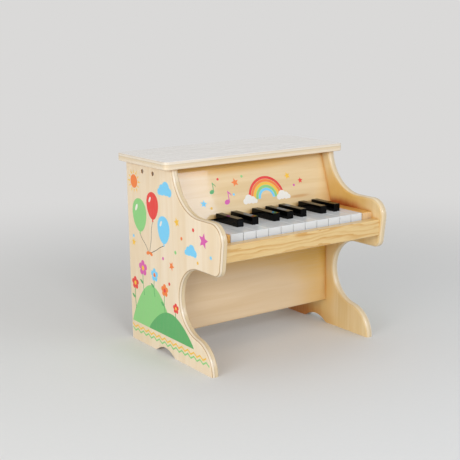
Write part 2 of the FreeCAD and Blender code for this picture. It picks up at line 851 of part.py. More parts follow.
def comb(label, y, rod_y, z, rod_z, holes):
    """A rail with a fin between each two neighbours on its rod, and one past each end."""
    half = size.fin_thickness / 2
    fin_y = (rod_y - size.fin_depth / 2, rod_y + size.fin_depth / 2)
    ends = (fin_middles[0] - half, fin_middles[-1] + half)
    solids = [box(f"{label}_rail", ends, y, z)]
    for number, middle in enumerate(fin_middles):
        fin_x = (middle - half, middle + half)
        solids.append(box(f"{label}_fin_{number}", fin_x, fin_y, (z[0], rod_z + size.fin_crown)))
    bore_radius = rod_radius + size.running_clearance
    bore = cylinder(f"{label}_bore", "x", bore_radius, (ends[0], rod_y, rod_z), ends[1] - ends[0])
    return part(label, cut(label, fuse(f"{label}_moulding", solids), [bore, *holes]))


def key_springs(holes):
    """A sheet of spring steel under the key comb, with a tongue that reaches up to each key."""
    foot = key_comb_y[0]
    tip = foot - size.spring_reach
    thick = size.spring_thickness
    tip_z = key_bottom - size.spring_gap - thick
    tongue = [
        (tip, tip_z, None),
        (foot + thick, bed_top, None),
        (foot + thick, bed_top + thick, None),
        (tip, tip_z + thick, None),
    ]
    ends = (fin_middles[0], fin_middles[-1])
    solids = [box("key_springs_foot", ends, key_comb_y, (bed_top, bed_top + thick))]
    for number, key in enumerate(keys):
        body = padded(f"key_spring_{number}", "YZ_Plane", tongue, size.spring_width)
        bind(body, "Placement.Base.x", key.middle - size.spring_width / 2)
        solids.append(body)
    part("key_springs", cut("key_springs", fuse("key_springs_sheet", solids), holes))


def key_felts():
    """A strip that stops the fronts of the keys, and one that their tails rest on."""
    stop_y = (key_front + size.key_front_gap, key_front + size.key_front_gap + size.stop_felt_width)
    stop_z = (bed_top, key_bottom - size.key_dip - size.stop_gap)
    stop = box("stop_felt", (-keyboard_half, keyboard_half), stop_y, stop_z)
    rest_y = (hammer_comb_front, hammer_comb_front + size.rest_felt_width)
    rest_x = (fin_middles[0], fin_middles[-1])
    rest = box("rest_felt", rest_x, rest_y, (hammer_comb_top, rest_top))
    part("key_felts", group("key_felts", [stop, rest]))


# Hammers and tone bars


def hammer(number, key):
    """A lever on the hammer rod: a heel over the key tail, and a head on a post at the far end."""
    label = f"hammer_{number:02d}"
    boss_x = (key.middle - lever_half, key.middle + lever_half)
    arm_x = (key.middle - size.hammer_arm_width / 2, key.middle + size.hammer_arm_width / 2)
    head_start = key.middle - size.hammer_head_width / 2
    head_y = hammer_rod_y - hammer_reach
    head_z = hammer_rod_z + hammer_head_rise
    arm_low = hammer_rod_z + size.hammer_arm_lift
    arm_z = (arm_low, arm_low + size.hammer_arm_height)
    post_half = size.hammer_arm_height / 2
    post_y = (head_y - post_half, head_y + post_half)
    solids = [
        cylinder(
            f"{label}_boss",
            "x",
            size.hammer_boss_radius,
            (boss_x[0], hammer_rod_y, hammer_rod_z),
            boss_x[1] - boss_x[0],
        ),
        box(f"{label}_arm", arm_x, (post_y[0], hammer_rod_y), arm_z),
        box(f"{label}_post", arm_x, post_y, (arm_low, head_z)),
        cylinder(
            f"{label}_head",
            "x",
            size.hammer_head_radius,
            (head_start, head_y, head_z),
            size.hammer_head_width,
        ),
        cylinder(f"{label}_heel", "x", size.heel_radius, (arm_x[0], heel_y, heel_z), size.hammer_arm_width),
    ]
    bore = cylinder(
        f"{label}_bore",
        "x",
        rod_radius + size.running_clearance,
        (key.cell[0], hammer_rod_y, hammer_rod_z),
        key.pitch,
    )
    part(label, cut(label, fuse(f"{label}_moulding", solids), [bore]))


def bar_length(number):
    """A bar's length: a bar that sounds an octave higher is shorter by the square root of two."""
    return longest_bar * 2 ** (-number / (2 * SEMITONES_PER_OCTAVE))


def bar_nodes():
    """The spots where bars are held: the bar's number, its middle along X, and the node's y."""
    spots = []
    for number, key in enumerate(keys):
        reach = NODE_SHARE * bar_length(number)
        for sign in (-1, 1):
            spots.append((f"{number}_{sign + 1}", key.middle, bar_middle + sign * reach))
    return spots


def bar_strips(name, z, nail_holes):
    """Two strips across the bars, over the line of their nodes, drawn together to the short bars."""
    half = size.bar_rail_width / 2
    first = keys[0].middle
    last = keys[-1].middle
    wide = NODE_SHARE * bar_length(0)
    narrow = NODE_SHARE * bar_length(len(keys) - 1)
    overhang = size.bar_rail_width
    slope = (wide - narrow) / (last - first)
    strips = []
    for sign in (-1, 1):
        low_y = bar_middle + sign * (wide + slope * overhang)
        high_y = bar_middle + sign * (narrow - slope * overhang)
        points = [
            (first - overhang, low_y - half, None),
            (last + overhang, high_y - half, None),
            (last + overhang, high_y + half, None),
            (first - overhang, low_y + half, None),
        ]
        body = padded(f"{name}_{sign + 1}", "XY_Plane", points, z[1] - z[0])
        bind(body, "Placement.Base.z", z[0])
        strips.append(cut(f"{name}_drilled_{sign + 1}", body, nail_holes))
    part(name, group(name, strips))


def tone_bars():
    bars = []
    half = (narrowest_pitch - size.bar_gap) / 2
    hole_radius = size.nail_diameter / 2 + size.bar_hole_clearance
    spots = bar_nodes()
    for number, key in enumerate(keys):
        reach = bar_length(number) / 2
        x = (key.middle - half, key.middle + half)
        y = (bar_middle - reach, bar_middle + reach)
        blank = box(f"tone_bar_blank_{number}", x, y, (bar_bottom, bar_top))
        holes = [
            cylinder(f"tone_bar_hole_{spot}", "z", hole_radius, (middle, node_y, bar_bottom), size.bar_thickness)
            for spot, middle, node_y in spots[2 * number : 2 * number + 2]
        ]
        bars.append(cut(f"tone_bar_{number}", blank, holes))
    part("tone_bars", group("tone_bars", bars))


def tone_bar_nails():
    """Nails that hang the bars from their rails, and the holes for them."""
    nails = []
    holes = []
    head_z = bar_bottom - size.nail_head_gap - size.nail_head_thickness
    shank_radius = size.nail_diameter / 2
    length = bar_rail_bottom + size.nail_depth - head_z
    for spot, x, y in bar_nodes():
        head = cylinder(
            f"nail_head_{spot}", "z", size.nail_head_diameter / 2, (x, y, head_z), size.nail_head_thickness
        )
        shank = cylinder(f"nail_shank_{spot}", "z", shank_radius, (x, y, head_z), length)
        nails.append(fuse(f"nail_{spot}", [head, shank]))
        hole_radius = shank_radius + size.running_clearance
        holes.append(
            cylinder(f"nail_hole_{spot}", "z", hole_radius, (x, y, head_z), length + size.running_clearance)
        )
    part("tone_bar_nails", group("tone_bar_nails", nails))
    return holes


def build():
    dowels, dowel_holes = case_dowels()
    case_screws, case_screw_holes = side_screws()
    other_screws, screw_holes = wood_screws()

    side_panel("left_side_panel", -case_half, dowel_holes["left"] + case_screw_holes["left"])
    side_panel("right_side_panel", inside_half, dowel_holes["right"] + case_screw_holes["right"])
    top_board(dowel_holes["top_board"])
    front_panel(dowel_holes["front_panel"])
    lower_panel(dowel_holes["lower_panel"])
    front_rail(dowel_holes["front_rail"])
    key_blocks()

    bed = box("key_bed_board", inside, (rail_back, back_panel_front), (bed_bottom, bed_top))
    comb_holes = screw_holes["key_comb"] + screw_holes["hammer_comb"]
    part("key_bed", cut("key_bed", bed, dowel_holes["key_bed"] + screw_holes["key_bed"] + comb_holes))
    back_y = (back_panel_front, back_panel_front + size.back_panel_thickness)
    panel = box("back_panel_board", inside, back_y, (bed_bottom, side_top))
    part("back_panel", cut("back_panel", panel, screw_holes["key_bed"] + screw_holes["tone_bar_board"]))
    board_y = (tone_board_front, back_panel_front)
    board_z = (tone_board_bottom, tone_board_bottom + size.tone_board_thickness)
    board = box("tone_bar_board_blank", inside, board_y, board_z)
    board_holes = case_screw_holes["tone_bar_board"] + screw_holes["tone_bar_board"]
    part("tone_bar_board", cut("tone_bar_board", board, board_holes))

    part("case_dowels", group("case_dowels", dowels))
    part("side_screws", group("side_screws", case_screws))
    part("wood_screws", group("wood_screws", other_screws))

    key_parts()
    rod("key_rod", key_rod_y, key_rod_z)
    comb("key_comb", key_comb_y, key_rod_y, key_comb_z, key_rod_z, screw_holes["key_comb"])
    key_springs(screw_holes["key_comb"])
    key_felts()

    for number, key in enumerate(keys, start=1):
        hammer(number, key)
    rod("hammer_rod", hammer_rod_y, hammer_rod_z)
    hammer_comb_y = (hammer_comb_front, hammer_rod_y + size.fin_depth / 2)
    hammer_comb_z = (bed_top, hammer_comb_top)
    comb("hammer_comb", hammer_comb_y, hammer_rod_y, hammer_comb_z, hammer_rod_z, screw_holes["hammer_comb"])
    nail_holes = tone_bar_nails()
    bar_strips("tone_bar_rails", (bar_rail_bottom, tone_board_bottom), nail_holes)
    bar_strips("tone_bar_felts", (bar_top, bar_rail_bottom), nail_holes)
    tone_bars()


def check_and_write():
    """Stops if anything failed to build, and then writes each piece to its own file."""
    doc.recompute()
    failed = [item.Name for item in doc.Objects if {"Invalid", "Error"} & set(item.State)]
    if failed:
        raise RuntimeError(f"not built: {failed}")
    for piece in parts:
        if piece.Shape.isNull() or not piece.Shape.isValid():
            raise RuntimeError(f"no sound shape: {piece.Label}")
    os.makedirs("parts", exist_ok=True)
    for piece in parts:
        piece.Shape.exportStep(os.path.join("parts", f"{piece.Label}.step"))


build()
check_and_write()
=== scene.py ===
import json
from functools import partial
from math import cos, pi, radians, sin, sqrt, tau

import bmesh
import bpy
from bpy.props import FloatProperty, FloatVectorProperty, IntProperty, PointerProperty
from bpy.types import Node, NodeSocket, Operator, Panel, PropertyGroup, Scene
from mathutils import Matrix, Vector, noise


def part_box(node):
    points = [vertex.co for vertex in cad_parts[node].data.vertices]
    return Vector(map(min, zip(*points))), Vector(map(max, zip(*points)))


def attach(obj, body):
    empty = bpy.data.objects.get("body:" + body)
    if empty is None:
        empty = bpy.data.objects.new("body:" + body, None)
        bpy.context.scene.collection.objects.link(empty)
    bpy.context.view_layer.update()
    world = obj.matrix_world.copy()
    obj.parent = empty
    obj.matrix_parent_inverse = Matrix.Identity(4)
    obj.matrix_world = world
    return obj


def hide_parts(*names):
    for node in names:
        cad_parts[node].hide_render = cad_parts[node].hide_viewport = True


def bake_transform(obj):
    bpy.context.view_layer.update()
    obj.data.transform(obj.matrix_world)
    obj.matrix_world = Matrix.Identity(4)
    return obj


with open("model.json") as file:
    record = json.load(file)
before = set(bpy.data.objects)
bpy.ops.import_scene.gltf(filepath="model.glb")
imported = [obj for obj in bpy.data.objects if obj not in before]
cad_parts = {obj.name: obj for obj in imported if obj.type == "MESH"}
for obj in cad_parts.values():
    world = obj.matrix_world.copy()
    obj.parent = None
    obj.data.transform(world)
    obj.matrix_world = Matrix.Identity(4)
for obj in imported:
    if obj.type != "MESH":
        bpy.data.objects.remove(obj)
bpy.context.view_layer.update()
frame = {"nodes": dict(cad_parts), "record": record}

bl_info = {
    "name": "Toy Piano",
    "version": (1, 0, 0),
    "blender": (4, 5, 0),
    "location": "View3D > Sidebar > Toy Piano",
    "description": "Finishes, prints and small hardware of a wooden toy piano",
    "category": "Add Mesh",
}

MM = 0.001
SIDES = {"left_side_panel": -1, "right_side_panel": 1}
INNER_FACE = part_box("right_side_panel")[0][0]
FRONT_BOARD = 9 * MM
PLIES = ("pale_ply", "core")
WHITE_KEYS = [n for n in frame["nodes"] if n.startswith("key_") and n[4].isdigit() and not n.endswith("sharp")]
BLACK_KEYS = [n for n in frame["nodes"] if n.endswith("_sharp")]
HAMMERS = [n for n in frame["nodes"] if n.startswith("hammer_") and n[-1].isdigit()]
PRESS_JOINTS = [j for j in frame["record"]["behaviour"]["joints"] if j["name"].endswith("_press")]


def linear(hex_colour):
    """Turns an sRGB hex value into linear red, green, blue and an alpha of one."""
    channels = [int(hex_colour[i : i + 2], 16) / 255 for i in (1, 3, 5)]
    return (*(c / 12.92 if c <= 0.04045 else ((c + 0.055) / 1.055) ** 2.4 for c in channels), 1.0)


def colour(name, description, default):
    """A colour property with its default given in hex."""
    return FloatVectorProperty(
        name=name, description=description, default=linear(default), subtype="COLOR", size=4, min=0.0, max=1.0
    )


def length(name, description, millimetres):
    """A length property with its default given in millimetres."""
    return FloatProperty(
        name=name, description=description, default=millimetres * MM, subtype="DISTANCE", unit="LENGTH", precision=5
    )


def power(name, description, watts):
    """A lamp's power property."""
    return FloatProperty(name=name, description=description, default=watts, unit="POWER")


# ---------------------------------------------------------------- settings


class PianoWoodSettings(PropertyGroup):
    side_face: colour("Side face", "Birch veneer on the outer face of the sides", "#EDDBC0")
    side_streak: colour("Side streak", "Darker growth figure on the outer face of the sides", "#E6CFAC")
    # The inner veneer is darker and more golden than the outer: partly the wood's own tone, partly painted shade
    # from inside the case
    inner_face: colour("Inner face", "Golden veneer on the inner face of the sides", "#E5CD9E")
    inner_streak: colour("Inner streak", "Darker growth figure on the inner face of the sides", "#D8B77B")
    lid_face: colour("Lid face", "Pale veneer of the lid", "#EEE8DF")
    lid_streak: colour("Lid streak", "Darker growth figure in the lid", "#E5DCCF")
    front_face: colour("Front face", "Honey-coloured veneer of the front panel", "#E7CB99")
    front_streak: colour("Front streak", "Darker growth figure in the front panel", "#DDBC84")
    board_face: colour("Board face", "Veneer of the lower panel, bed and back", "#DCC29D")
    board_streak: colour("Board streak", "Darker growth figure in the plain boards", "#D4B78E")
    # Painted shade on the lower panel: golden under the rail and at its right end
    heartwood: colour("Heartwood", "Golden patch in the lower panel", "#D6A53A")
    mineral: colour("Mineral streak", "Short brown streak in the front panel", "#C98D3C")
    # Painted shade: a golden tint under the lid and beside the keys, and a deep orange-brown low in the corners of
    # the case
    lacquer_run: colour("Lacquer run", "Thick lacquer under the lid and beside the keys", "#DAA742")
    lacquer_pool: colour("Lacquer pool", "Deep lacquer, run together low in the corners", "#AA4A0A")
    pale_ply: colour("Pale ply", "Ply under the face veneer, seen on the edges", "#D9CBB4")
    core: colour("Core ply", "Middle ply, seen on the edges", "#CFB990")
    lid_ply: colour("Lid ply", "Ply under the face veneer of the lid", "#E1D2BA")
    lid_core: colour("Lid core", "Middle ply of the lid", "#D8C096")
    glue_line: colour("Glue line", "Dark line between two plies", "#97713D")
    rail_early: colour("Rail earlywood", "Pale part of a growth ring in the rail", "#DBBB80")
    rail_late: colour("Rail latewood", "Golden part of a growth ring in the rail", "#C1872C")
    block_early: colour("Block earlywood", "Pale part of a growth ring in the key blocks", "#DBA650")
    block_late: colour("Block latewood", "Red-brown part of a growth ring in the key blocks", "#8C4A18")
    # Painted highlight: the pale colour of a sawn end where light falls on it
    sawn_end: colour("Sawn end", "Pale end grain of the pine", "#E3C8A0")
    veneer_thickness: length("Veneer thickness", "Thickness of the face veneer on a board", 0.9)
    ring_width: length("Ring width", "Width of one growth ring in the pine", 5.0)
    # Painted shade: the amber darkening in corners and under overhangs, and how far from them it reaches
    amber: colour("Amber lacquer", "Tint of the lacquer where it runs together in corners", "#EBBC5C")
    pool_width: length("Pool width", "How far from a corner the lacquer is still thick", 9.0)


class PianoKeySettings(PropertyGroup):
    white: colour("White lacquer", "Gloss lacquer on the natural keys", "#DBDDDD")
    black: colour("Black lacquer", "Gloss lacquer on the sharp keys", "#060505")
    lever: colour("Lever wood", "Bare basswood of the levers behind the front panel", "#D9BE93")
    paint_end: length("Paint end", "Where the lacquer ends, measured along the depth", -5.0)


class PianoHardwareSettings(PropertyGroup):
    browned: colour("Browned steel", "Heads of the side screws", "#C6B4A4")
    zinc: colour("Zinc plate", "Heads of the small wood screws", "#B9BBBE")
    steel: colour("Drawn steel", "Rods, springs and nails", "#A9ABAE")
    aluminium: colour("Aluminium", "Tone bars", "#D3D5D8")
    moulding: colour("Moulding", "Combs and hammers", "#DDD8CB")
    felt: colour("Felt", "Felt strips under keys and tone bars", "#9E2B2B")
    slot_width: length("Slot width", "Width of the cross recess in a screw head", 0.9)
    head_sides: IntProperty(name="Head sides", description="Steps round a screw head", default=40, min=12)


class PianoPrintSettings(PropertyGroup):
    leaf: colour("Leaf green", "Light green ink", "#86CC77")
    moss: colour("Moss green", "Deeper green ink", "#4FA85A")
    red: colour("Red", "Red ink", "#E3281B")
    orange: colour("Orange", "Orange ink", "#F07A1E")
    yellow: colour("Yellow", "Warm yellow ink", "#F2BE26")
    sky: colour("Sky blue", "Light blue ink", "#72CBF2")
    rose: colour("Rose", "Magenta ink", "#D651A6")
    coal: colour("Black", "Black ink", "#1E1B1B")
    pale: colour("White", "White ink of clouds and highlights", "#EEE8DC")
    film: length("Ink film", "Height of the first layer of ink", 0.05)
    step: length("Ink step", "Added height of each layer over it", 0.02)
    wave_pitch: length("Zigzag pitch", "Length of one wave of the zigzag border", 16.4)
    wave_swing: length("Zigzag swing", "Height of the zigzag above and below its middle", 2.4)
    wave_line: length("Zigzag line", "Width of one printed line of the zigzag", 2.4)


class PianoStageSettings(PropertyGroup):
    floor: colour("Floor", "Matt painted floor", "#DDDDDB")
    backdrop: colour("Backdrop", "What is seen behind the floor", "#DAD9D8")
    ambient: FloatProperty(name="Ambient", description="Strength of the even light all round", default=0.57, min=0.0)
    left_power: power("Left softbox", "Power of the softbox at the left", 15.0)
    front_power: power("Front softbox", "Power of the softbox in front", 13.6)
    right_power: power("Right softbox", "Power of the softbox at the right", 7.0)
    top_power: power("Top softbox", "Power of the softbox overhead", 3.0)
    daylight: colour("Daylight", "Cool light of the softbox at the right", "#CFE2FF")
    camera_place: FloatVectorProperty(
        name="Camera place", description="Where the camera stands", subtype="TRANSLATION", unit="LENGTH",
        default=(-0.86369, -1.18989, 0.49736),
    )
    camera_turn: FloatVectorProperty(
        name="Camera turn", description="Rotation of the camera", subtype="EULER", unit="ROTATION",
        default=[radians(a) for a in (77.7173, 0.9380, -34.6362)],
    )
    lens: FloatProperty(name="Lens", description="Focal length on a 36 mm sensor", default=75.777, unit="CAMERA")


# ---------------------------------------------------------------- materials
# A Mix takes its share, the colour under and the colour over. A MapRange takes its value, the
# low and high end that it comes from, and the low and high end that it goes to. A texture takes
# its place and its scale, and noise then its detail. MODES tells which setting a node's mode is.

MODES = {"Math": "operation", "VectorMath": "operation", "Mix": "data_type", "MapRange": "interpolation_type"}


def add_node(tree, kind, *inputs, **settings):
    """Adds one node, of a kind or KIND.MODE, with its settings.

    Inputs come in a row for the sockets in use, or in one dict by socket name. Each is a value,
    an output to link from, or a node, which stands for its first output in use.
    """
    kind, _, mode = kind.partition(".")
    made = tree.nodes.new("ShaderNode" + kind)
    if mode:
        settings[MODES[kind]] = mode
    for name, value in settings.items():
        setattr(made, name, value)
    if inputs and isinstance(inputs[0], dict):
        pairs = [(made.inputs[name], value) for name, value in inputs[0].items()]
    else:
        pairs = zip([socket for socket in made.inputs if socket.enabled], inputs)
    for socket, value in pairs:
        if isinstance(value, Node):
            value = next(output for output in value.outputs if output.enabled)
        if isinstance(value, NodeSocket):
            tree.links.new(value, socket)
        else:
            socket.default_value = value
    return made


def new_material(name, recipe, *tints, **looks):
    """A material with the surface that the recipe builds of add_node and the place on the object."""
    material = bpy.data.materials.new(name)
    material.use_nodes = True
    material.node_tree.nodes.clear()
    add = partial(add_node, material.node_tree)
    surface = recipe(add, add("TexCoord").outputs["Object"], *tints, **looks)
    add("OutputMaterial", {"Surface": surface})
    return material


def darker(tint, share):
    """A tint at a share of its brightness."""
    return (*(c * share for c in tint[:3]), 1.0)


def streaks(add, place, grain, across, along, detail, roughness=0.5, distortion=0.0):
    """Noise drawn out along the grain: one step is so many millimetres across it and along it."""
    steps = [1 / (MM * (along if axis == grain else across)) for axis in "XYZ"]
    drawn = add("VectorMath.MULTIPLY", place, steps)
    looks = {"Scale": 1.0, "Detail": detail, "Roughness": roughness, "Distortion": distortion}
    return add("TexNoise", {"Vector": drawn, **looks})


def paint_occlusion_shade(add, place, bare):
    """Paints shade into a wood colour: an amber darkening in corners and under the lid, wherever ambient occlusion
    finds them.
    """
    wood = bpy.context.scene.piano_wood
    shut_in = add("AmbientOcclusion", {"Distance": wood.pool_width}, samples=8)
    occlusion_shade_share = add("MapRange", shut_in.outputs["AO"], 0.30, 0.80, 1.0, 0.0)
    # The painted shade fades in from 25 to 60 mm above the floor, so that the floor does not darken the feet
    height = add("SeparateXYZ", place).outputs["Z"]
    clear = add("MapRange", height, 25 * MM, 60 * MM)
    share = add("Math.MULTIPLY", occlusion_shade_share, clear)
    return add("Mix.RGBA", share, bare, wood.amber, blend_type="MULTIPLY")


def birch_plywood(
    add, place, front, back, outward, start, thickness, grain, gloss, coat=0.45, glue=0.7, plies=PLIES, blushes=()
):
    """Birch plywood, rotary-cut and sealed with clear lacquer.

    The face shows soft figure and fine fibre along the grain, and every rounded edge cuts
    through the veneer, a pale ply, a speckled core and the thin glue lines between them.
    Front and back name a veneer in the settings, with its face and its streak; the front one
    lies where outward points to. The plies name the colours of the next ply and of the core.
    A blush is a tint, its strength, its middle and its reach along each axis in millimetres:
    a mineral streak in the veneer, or painted shade under the lid, beside the keys, under the rail and in the
    corners of the case.
    """
    wood = bpy.context.scene.piano_wood
    depth = add("VectorMath.DOT_PRODUCT", place, outward)
    near_front = add("Math.GREATER_THAN", depth, start + thickness / 2)
    face, streak = (
        add("Mix.RGBA", near_front, getattr(wood, back + part), getattr(wood, front + part))
        for part in ("_face", "_streak")
    )

    # Figure: bands about 18 mm wide that run on for a third of a metre
    figure = streaks(add, place, grain, 18, 330, 4.0, 0.55, 0.5)
    # Fibre: real ones are 0.1 mm wide, drawn 0.8 mm wide so that they show
    fibre = streaks(add, place, grain, 0.8, 34, 3.0, 0.6)
    tone = add("MapRange.SMOOTHSTEP", figure, 0.34, 0.70)
    veneer = add("Mix.RGBA", tone, face, streak)
    # Blushes: a mineral streak, and painted shade along joints and under overhangs
    for tint, strength, middle, reach in blushes:
        away = add("VectorMath.SUBTRACT", place, middle)
        scaled = add("VectorMath.DIVIDE", away, [r * MM for r in reach])
        far = add("VectorMath.LENGTH", scaled)
        ragged = add("Math.MULTIPLY_ADD", figure, 0.6, far)
        patch = add("MapRange.SMOOTHSTEP", ragged, 0.5, 1.35, strength, 0.0)
        veneer = add("Mix.RGBA", patch, veneer, tint)
    pore = add("MapRange", fibre, 0.52, 0.78, 0.0, 0.55)
    layered = add("Mix.RGBA", pore, veneer, streak)

    # Plies: told by the depth below the nearer face, the same from both sides
    below = add("Math.SUBTRACT", depth, start)
    inward = add("Math.PINGPONG", below, thickness / 2)
    first = wood.veneer_thickness
    second = first + (thickness - 2 * first) / 3
    speckle = add("TexNoise", place, 1 / (0.9 * MM), 2.0)
    end_grain = add("Math.MULTIPLY_ADD", speckle, 0.5, 0.55)
    cut = add("MapRange", near_front, 0.0, 1.0, 0.6, 1.0)
    speckled = add("Math.MULTIPLY", end_grain, cut)
    for seam, ply in zip((first, second), plies):
        deeper = add("Math.GREATER_THAN", inward, seam)
        shown = add("Math.MULTIPLY", deeper, speckled)
        layered = add("Mix.RGBA", shown, layered, getattr(wood, ply))
    # Glue lines: 0.1 mm in real board, drawn 0.9 and 0.44 mm wide so that they show
    strength = add("MapRange", near_front, 0.0, 1.0, 0.25 * glue, glue)
    for seam, half_width in ((first, 0.45 * MM), (second, 0.22 * MM)):
        glued = add("Math.COMPARE", inward, seam, half_width)
        line = add("Math.MULTIPLY", glued, strength)
        layered = add("Mix.RGBA", line, layered, wood.glue_line)

    sheen = add("MapRange", fibre, 0.0, 1.0, gloss, gloss + 0.14)
    raised = add("Bump", {"Strength": 0.25, "Distance": 0.06 * MM, "Height": fibre})
    # Lacquer: flows out nearly flat, in waves about 14 mm apart
    flow = add("TexNoise", place, 1 / (14 * MM), 1.0)
    waved = add("Bump", {"Strength": 0.5, "Distance": 0.10 * MM, "Height": flow})
    lacquer = {"IOR": 1.5, "Coat Weight": coat, "Coat Roughness": 0.06, "Coat IOR": 1.5, "Coat Normal": waved}
    # Painted shade in corners and under the lid
    painted_shade_colour = paint_occlusion_shade(add, place, layered)
    return add("BsdfPrincipled", {"Base Color": painted_shade_colour, "Roughness": sheen, "Normal": raised, **lacquer})


def lacquered_pine(add, place, early, late_wood, grain, heart, dryness=0.0):
    """Planed pine under clear lacquer.

    Growth rings round a heart below the strip show as long golden and resin-brown streaks,
    each soft on its inner edge and sharp on its outer one. Sawn ends are painted paler, by the
    painted lightness: a painted highlight where light falls on the end grain.
    """
    wood = bpy.context.scene.piano_wood
    away = add("VectorMath.SUBTRACT", place, heart)
    squeeze = [0.04 if axis == grain else 1.0 for axis in "XYZ"]
    flat = add("VectorMath.MULTIPLY", away, squeeze)
    radius = add("VectorMath.LENGTH", flat)
    # Sway: rings wander by a few millimetres over the length of a hand
    sway = streaks(add, place, grain, 14, 85, 3.0)
    swung = add("Math.MULTIPLY_ADD", sway, 16 * MM, radius)
    rings = add("Math.MULTIPLY", swung, 1 / wood.ring_width)
    ring = add("Math.FRACT", rings)
    late = add("MapRange.SMOOTHERSTEP", ring, 0.30, 0.97)
    # Resin: some rings are darker than others
    resin = streaks(add, place, grain, 9, 120, 2.0)
    strength = add("MapRange", resin, 0.3, 0.7, 0.12, 0.8)
    brown = add("Math.MULTIPLY", late, strength)
    ringed = add("Mix.RGBA", brown, early, late_wood)
    # Fibre: drawn 0.7 mm wide so that it shows
    fibre = streaks(add, place, grain, 0.7, 26, 2.0)
    thread = add("MapRange", fibre, 0.5, 0.8, 0.0, 0.35)
    grained = add("Mix.RGBA", thread, ringed, late_wood)
    # Painted highlight: faces that look along the grain turn paler by the painted lightness
    facing = add("SeparateXYZ", add("TexCoord").outputs["Normal"]).outputs[grain]
    sawn = add("Math.ABSOLUTE", facing)
    lit_end_share = add("MapRange", sawn, 0.7, 0.95, 0.0, dryness)
    ended = add("Mix.RGBA", lit_end_share, grained, wood.sawn_end)
    sheen = add("MapRange", fibre, 0.0, 1.0, 0.30, 0.46)
    raised = add("Bump", {"Strength": 0.3, "Distance": 0.08 * MM, "Height": fibre})
    lacquer = {"IOR": 1.5, "Coat Weight": 0.4, "Coat Roughness": 0.14}
    return add("BsdfPrincipled", {"Base Color": ended, "Roughness": sheen, "Normal": raised, **lacquer})


def sprayed_lacquer(add, place, paint, gloss, mottle, mirror):
    """Gloss nitro lacquer sprayed on basswood, with the lever behind the front panel left bare.

    The paint mirrors what stands round it through a faint orange peel, and the bare wood is
    pale and dull with straight fibre.
    """
    keys = bpy.context.scene.piano_keys
    # Orange peel: waves about 2.5 mm apart
    peel = add("TexNoise", place, 1 / (2.5 * MM), 2.0)
    fibre = streaks(add, place, "Y", 1.4, 40, 3.0, 0.6)
    cloud = add("TexNoise", place, 1 / (30 * MM), 2.0)
    painted = add("Mix.RGBA", cloud, paint, darker(paint, mottle))
    bare = add("Mix.RGBA", fibre, keys.lever, darker(keys.lever, 0.72))
    # The paint ends in a ragged edge, up to 1.5 mm deep
    depth = add("SeparateXYZ", place).outputs["Y"]
    ragged = add("Math.MULTIPLY_ADD", fibre, 1.5 * MM, depth)
    wood = add("MapRange", ragged, keys.paint_end, keys.paint_end + 0.4 * MM)
    coloured = add("Mix.RGBA", wood, painted, bare)
    polish = add("MapRange", peel, 0.0, 1.0, gloss, gloss + 0.04)
    rough = add("Mix", wood, polish, 0.65)
    height = add("Mix", wood, peel, fibre)
    raised = add("Bump", {"Strength": 0.08, "Distance": 0.05 * MM, "Height": height})
    shine = {"Roughness": rough, "IOR": 1.5, "Specular IOR Level": mirror}
    return add("BsdfPrincipled", {"Base Color": coloured, "Normal": raised, **shine})


def worked_metal(add, place, tint, rough, grain, groove):
    """Metal drawn, brushed or plated.

    Hair lines along the working direction break up a clear reflection, and the tone drifts a
    little from place to place.
    """
    # Hair lines: drawn at the groove width given, coarser than the real 0.02 mm so that they show
    line = streaks(add, place, grain, groove, 60 * groove, 3.0, 0.65)
    drift = add("TexNoise", place, 1 / (7 * MM), 3.0)
    toned = add("Mix.RGBA", drift, tint, darker(tint, 0.62))
    polish = add("MapRange", line, 0.0, 1.0, rough - 0.08, rough + 0.12)
    raised = add("Bump", {"Strength": 0.2, "Distance": 0.03 * MM, "Height": line})
    return add("BsdfPrincipled", {"Base Color": toned, "Metallic": 1.0, "Roughness": polish, "Normal": raised})


def moulded_abs(add, place, tint):
    """ABS, injection-moulded in a spark-eroded tool.

    A fine matt grain all over, with faint flow clouds in the colour.
    """
    # Spark grain: real pits are 0.1 mm, drawn 0.5 mm so that they show
    pits = add("TexVoronoi", place, 1 / (0.5 * MM), feature="SMOOTH_F1")
    flow = add("TexNoise", place, 1 / (12 * MM), 2.0)
    clouded = add("Mix.RGBA", flow, tint, darker(tint, 0.86))
    matt = add("MapRange", pits, 0.0, 1.0, 0.42, 0.56)
    raised = add("Bump", {"Strength": 0.15, "Distance": 0.04 * MM, "Height": pits})
    return add("BsdfPrincipled", {"Base Color": clouded, "Roughness": matt, "Normal": raised, "IOR": 1.53})


def pressed_felt(add, place, tint):
    """Wool felt, pressed and cut in strips.

    No shine, a soft pale bloom at grazing angles and a tangle of short fibres.
    """
    # Fibres: real wool is 0.03 mm, drawn 0.35 mm so that it shows
    knots = {"Scale": 1 / (0.35 * MM), "Detail": 4.0, "Roughness": 0.7, "Distortion": 2.0}
    tangle = add("TexNoise", {"Vector": place, **knots})
    tuft = add("TexNoise", place, 1 / (4 * MM), 2.0)
    mixed = add("Mix.RGBA", tangle, darker(tint, 0.55), tint)
    tufted = add("Mix.RGBA", tuft, mixed, tint)
    raised = add("Bump", {"Strength": 0.6, "Distance": 0.25 * MM, "Height": tangle})
    bloom = {"Roughness": 0.95, "Sheen Weight": 0.4, "Sheen Roughness": 0.5}
    return add("BsdfPrincipled", {"Base Color": tufted, "Normal": raised, **bloom})


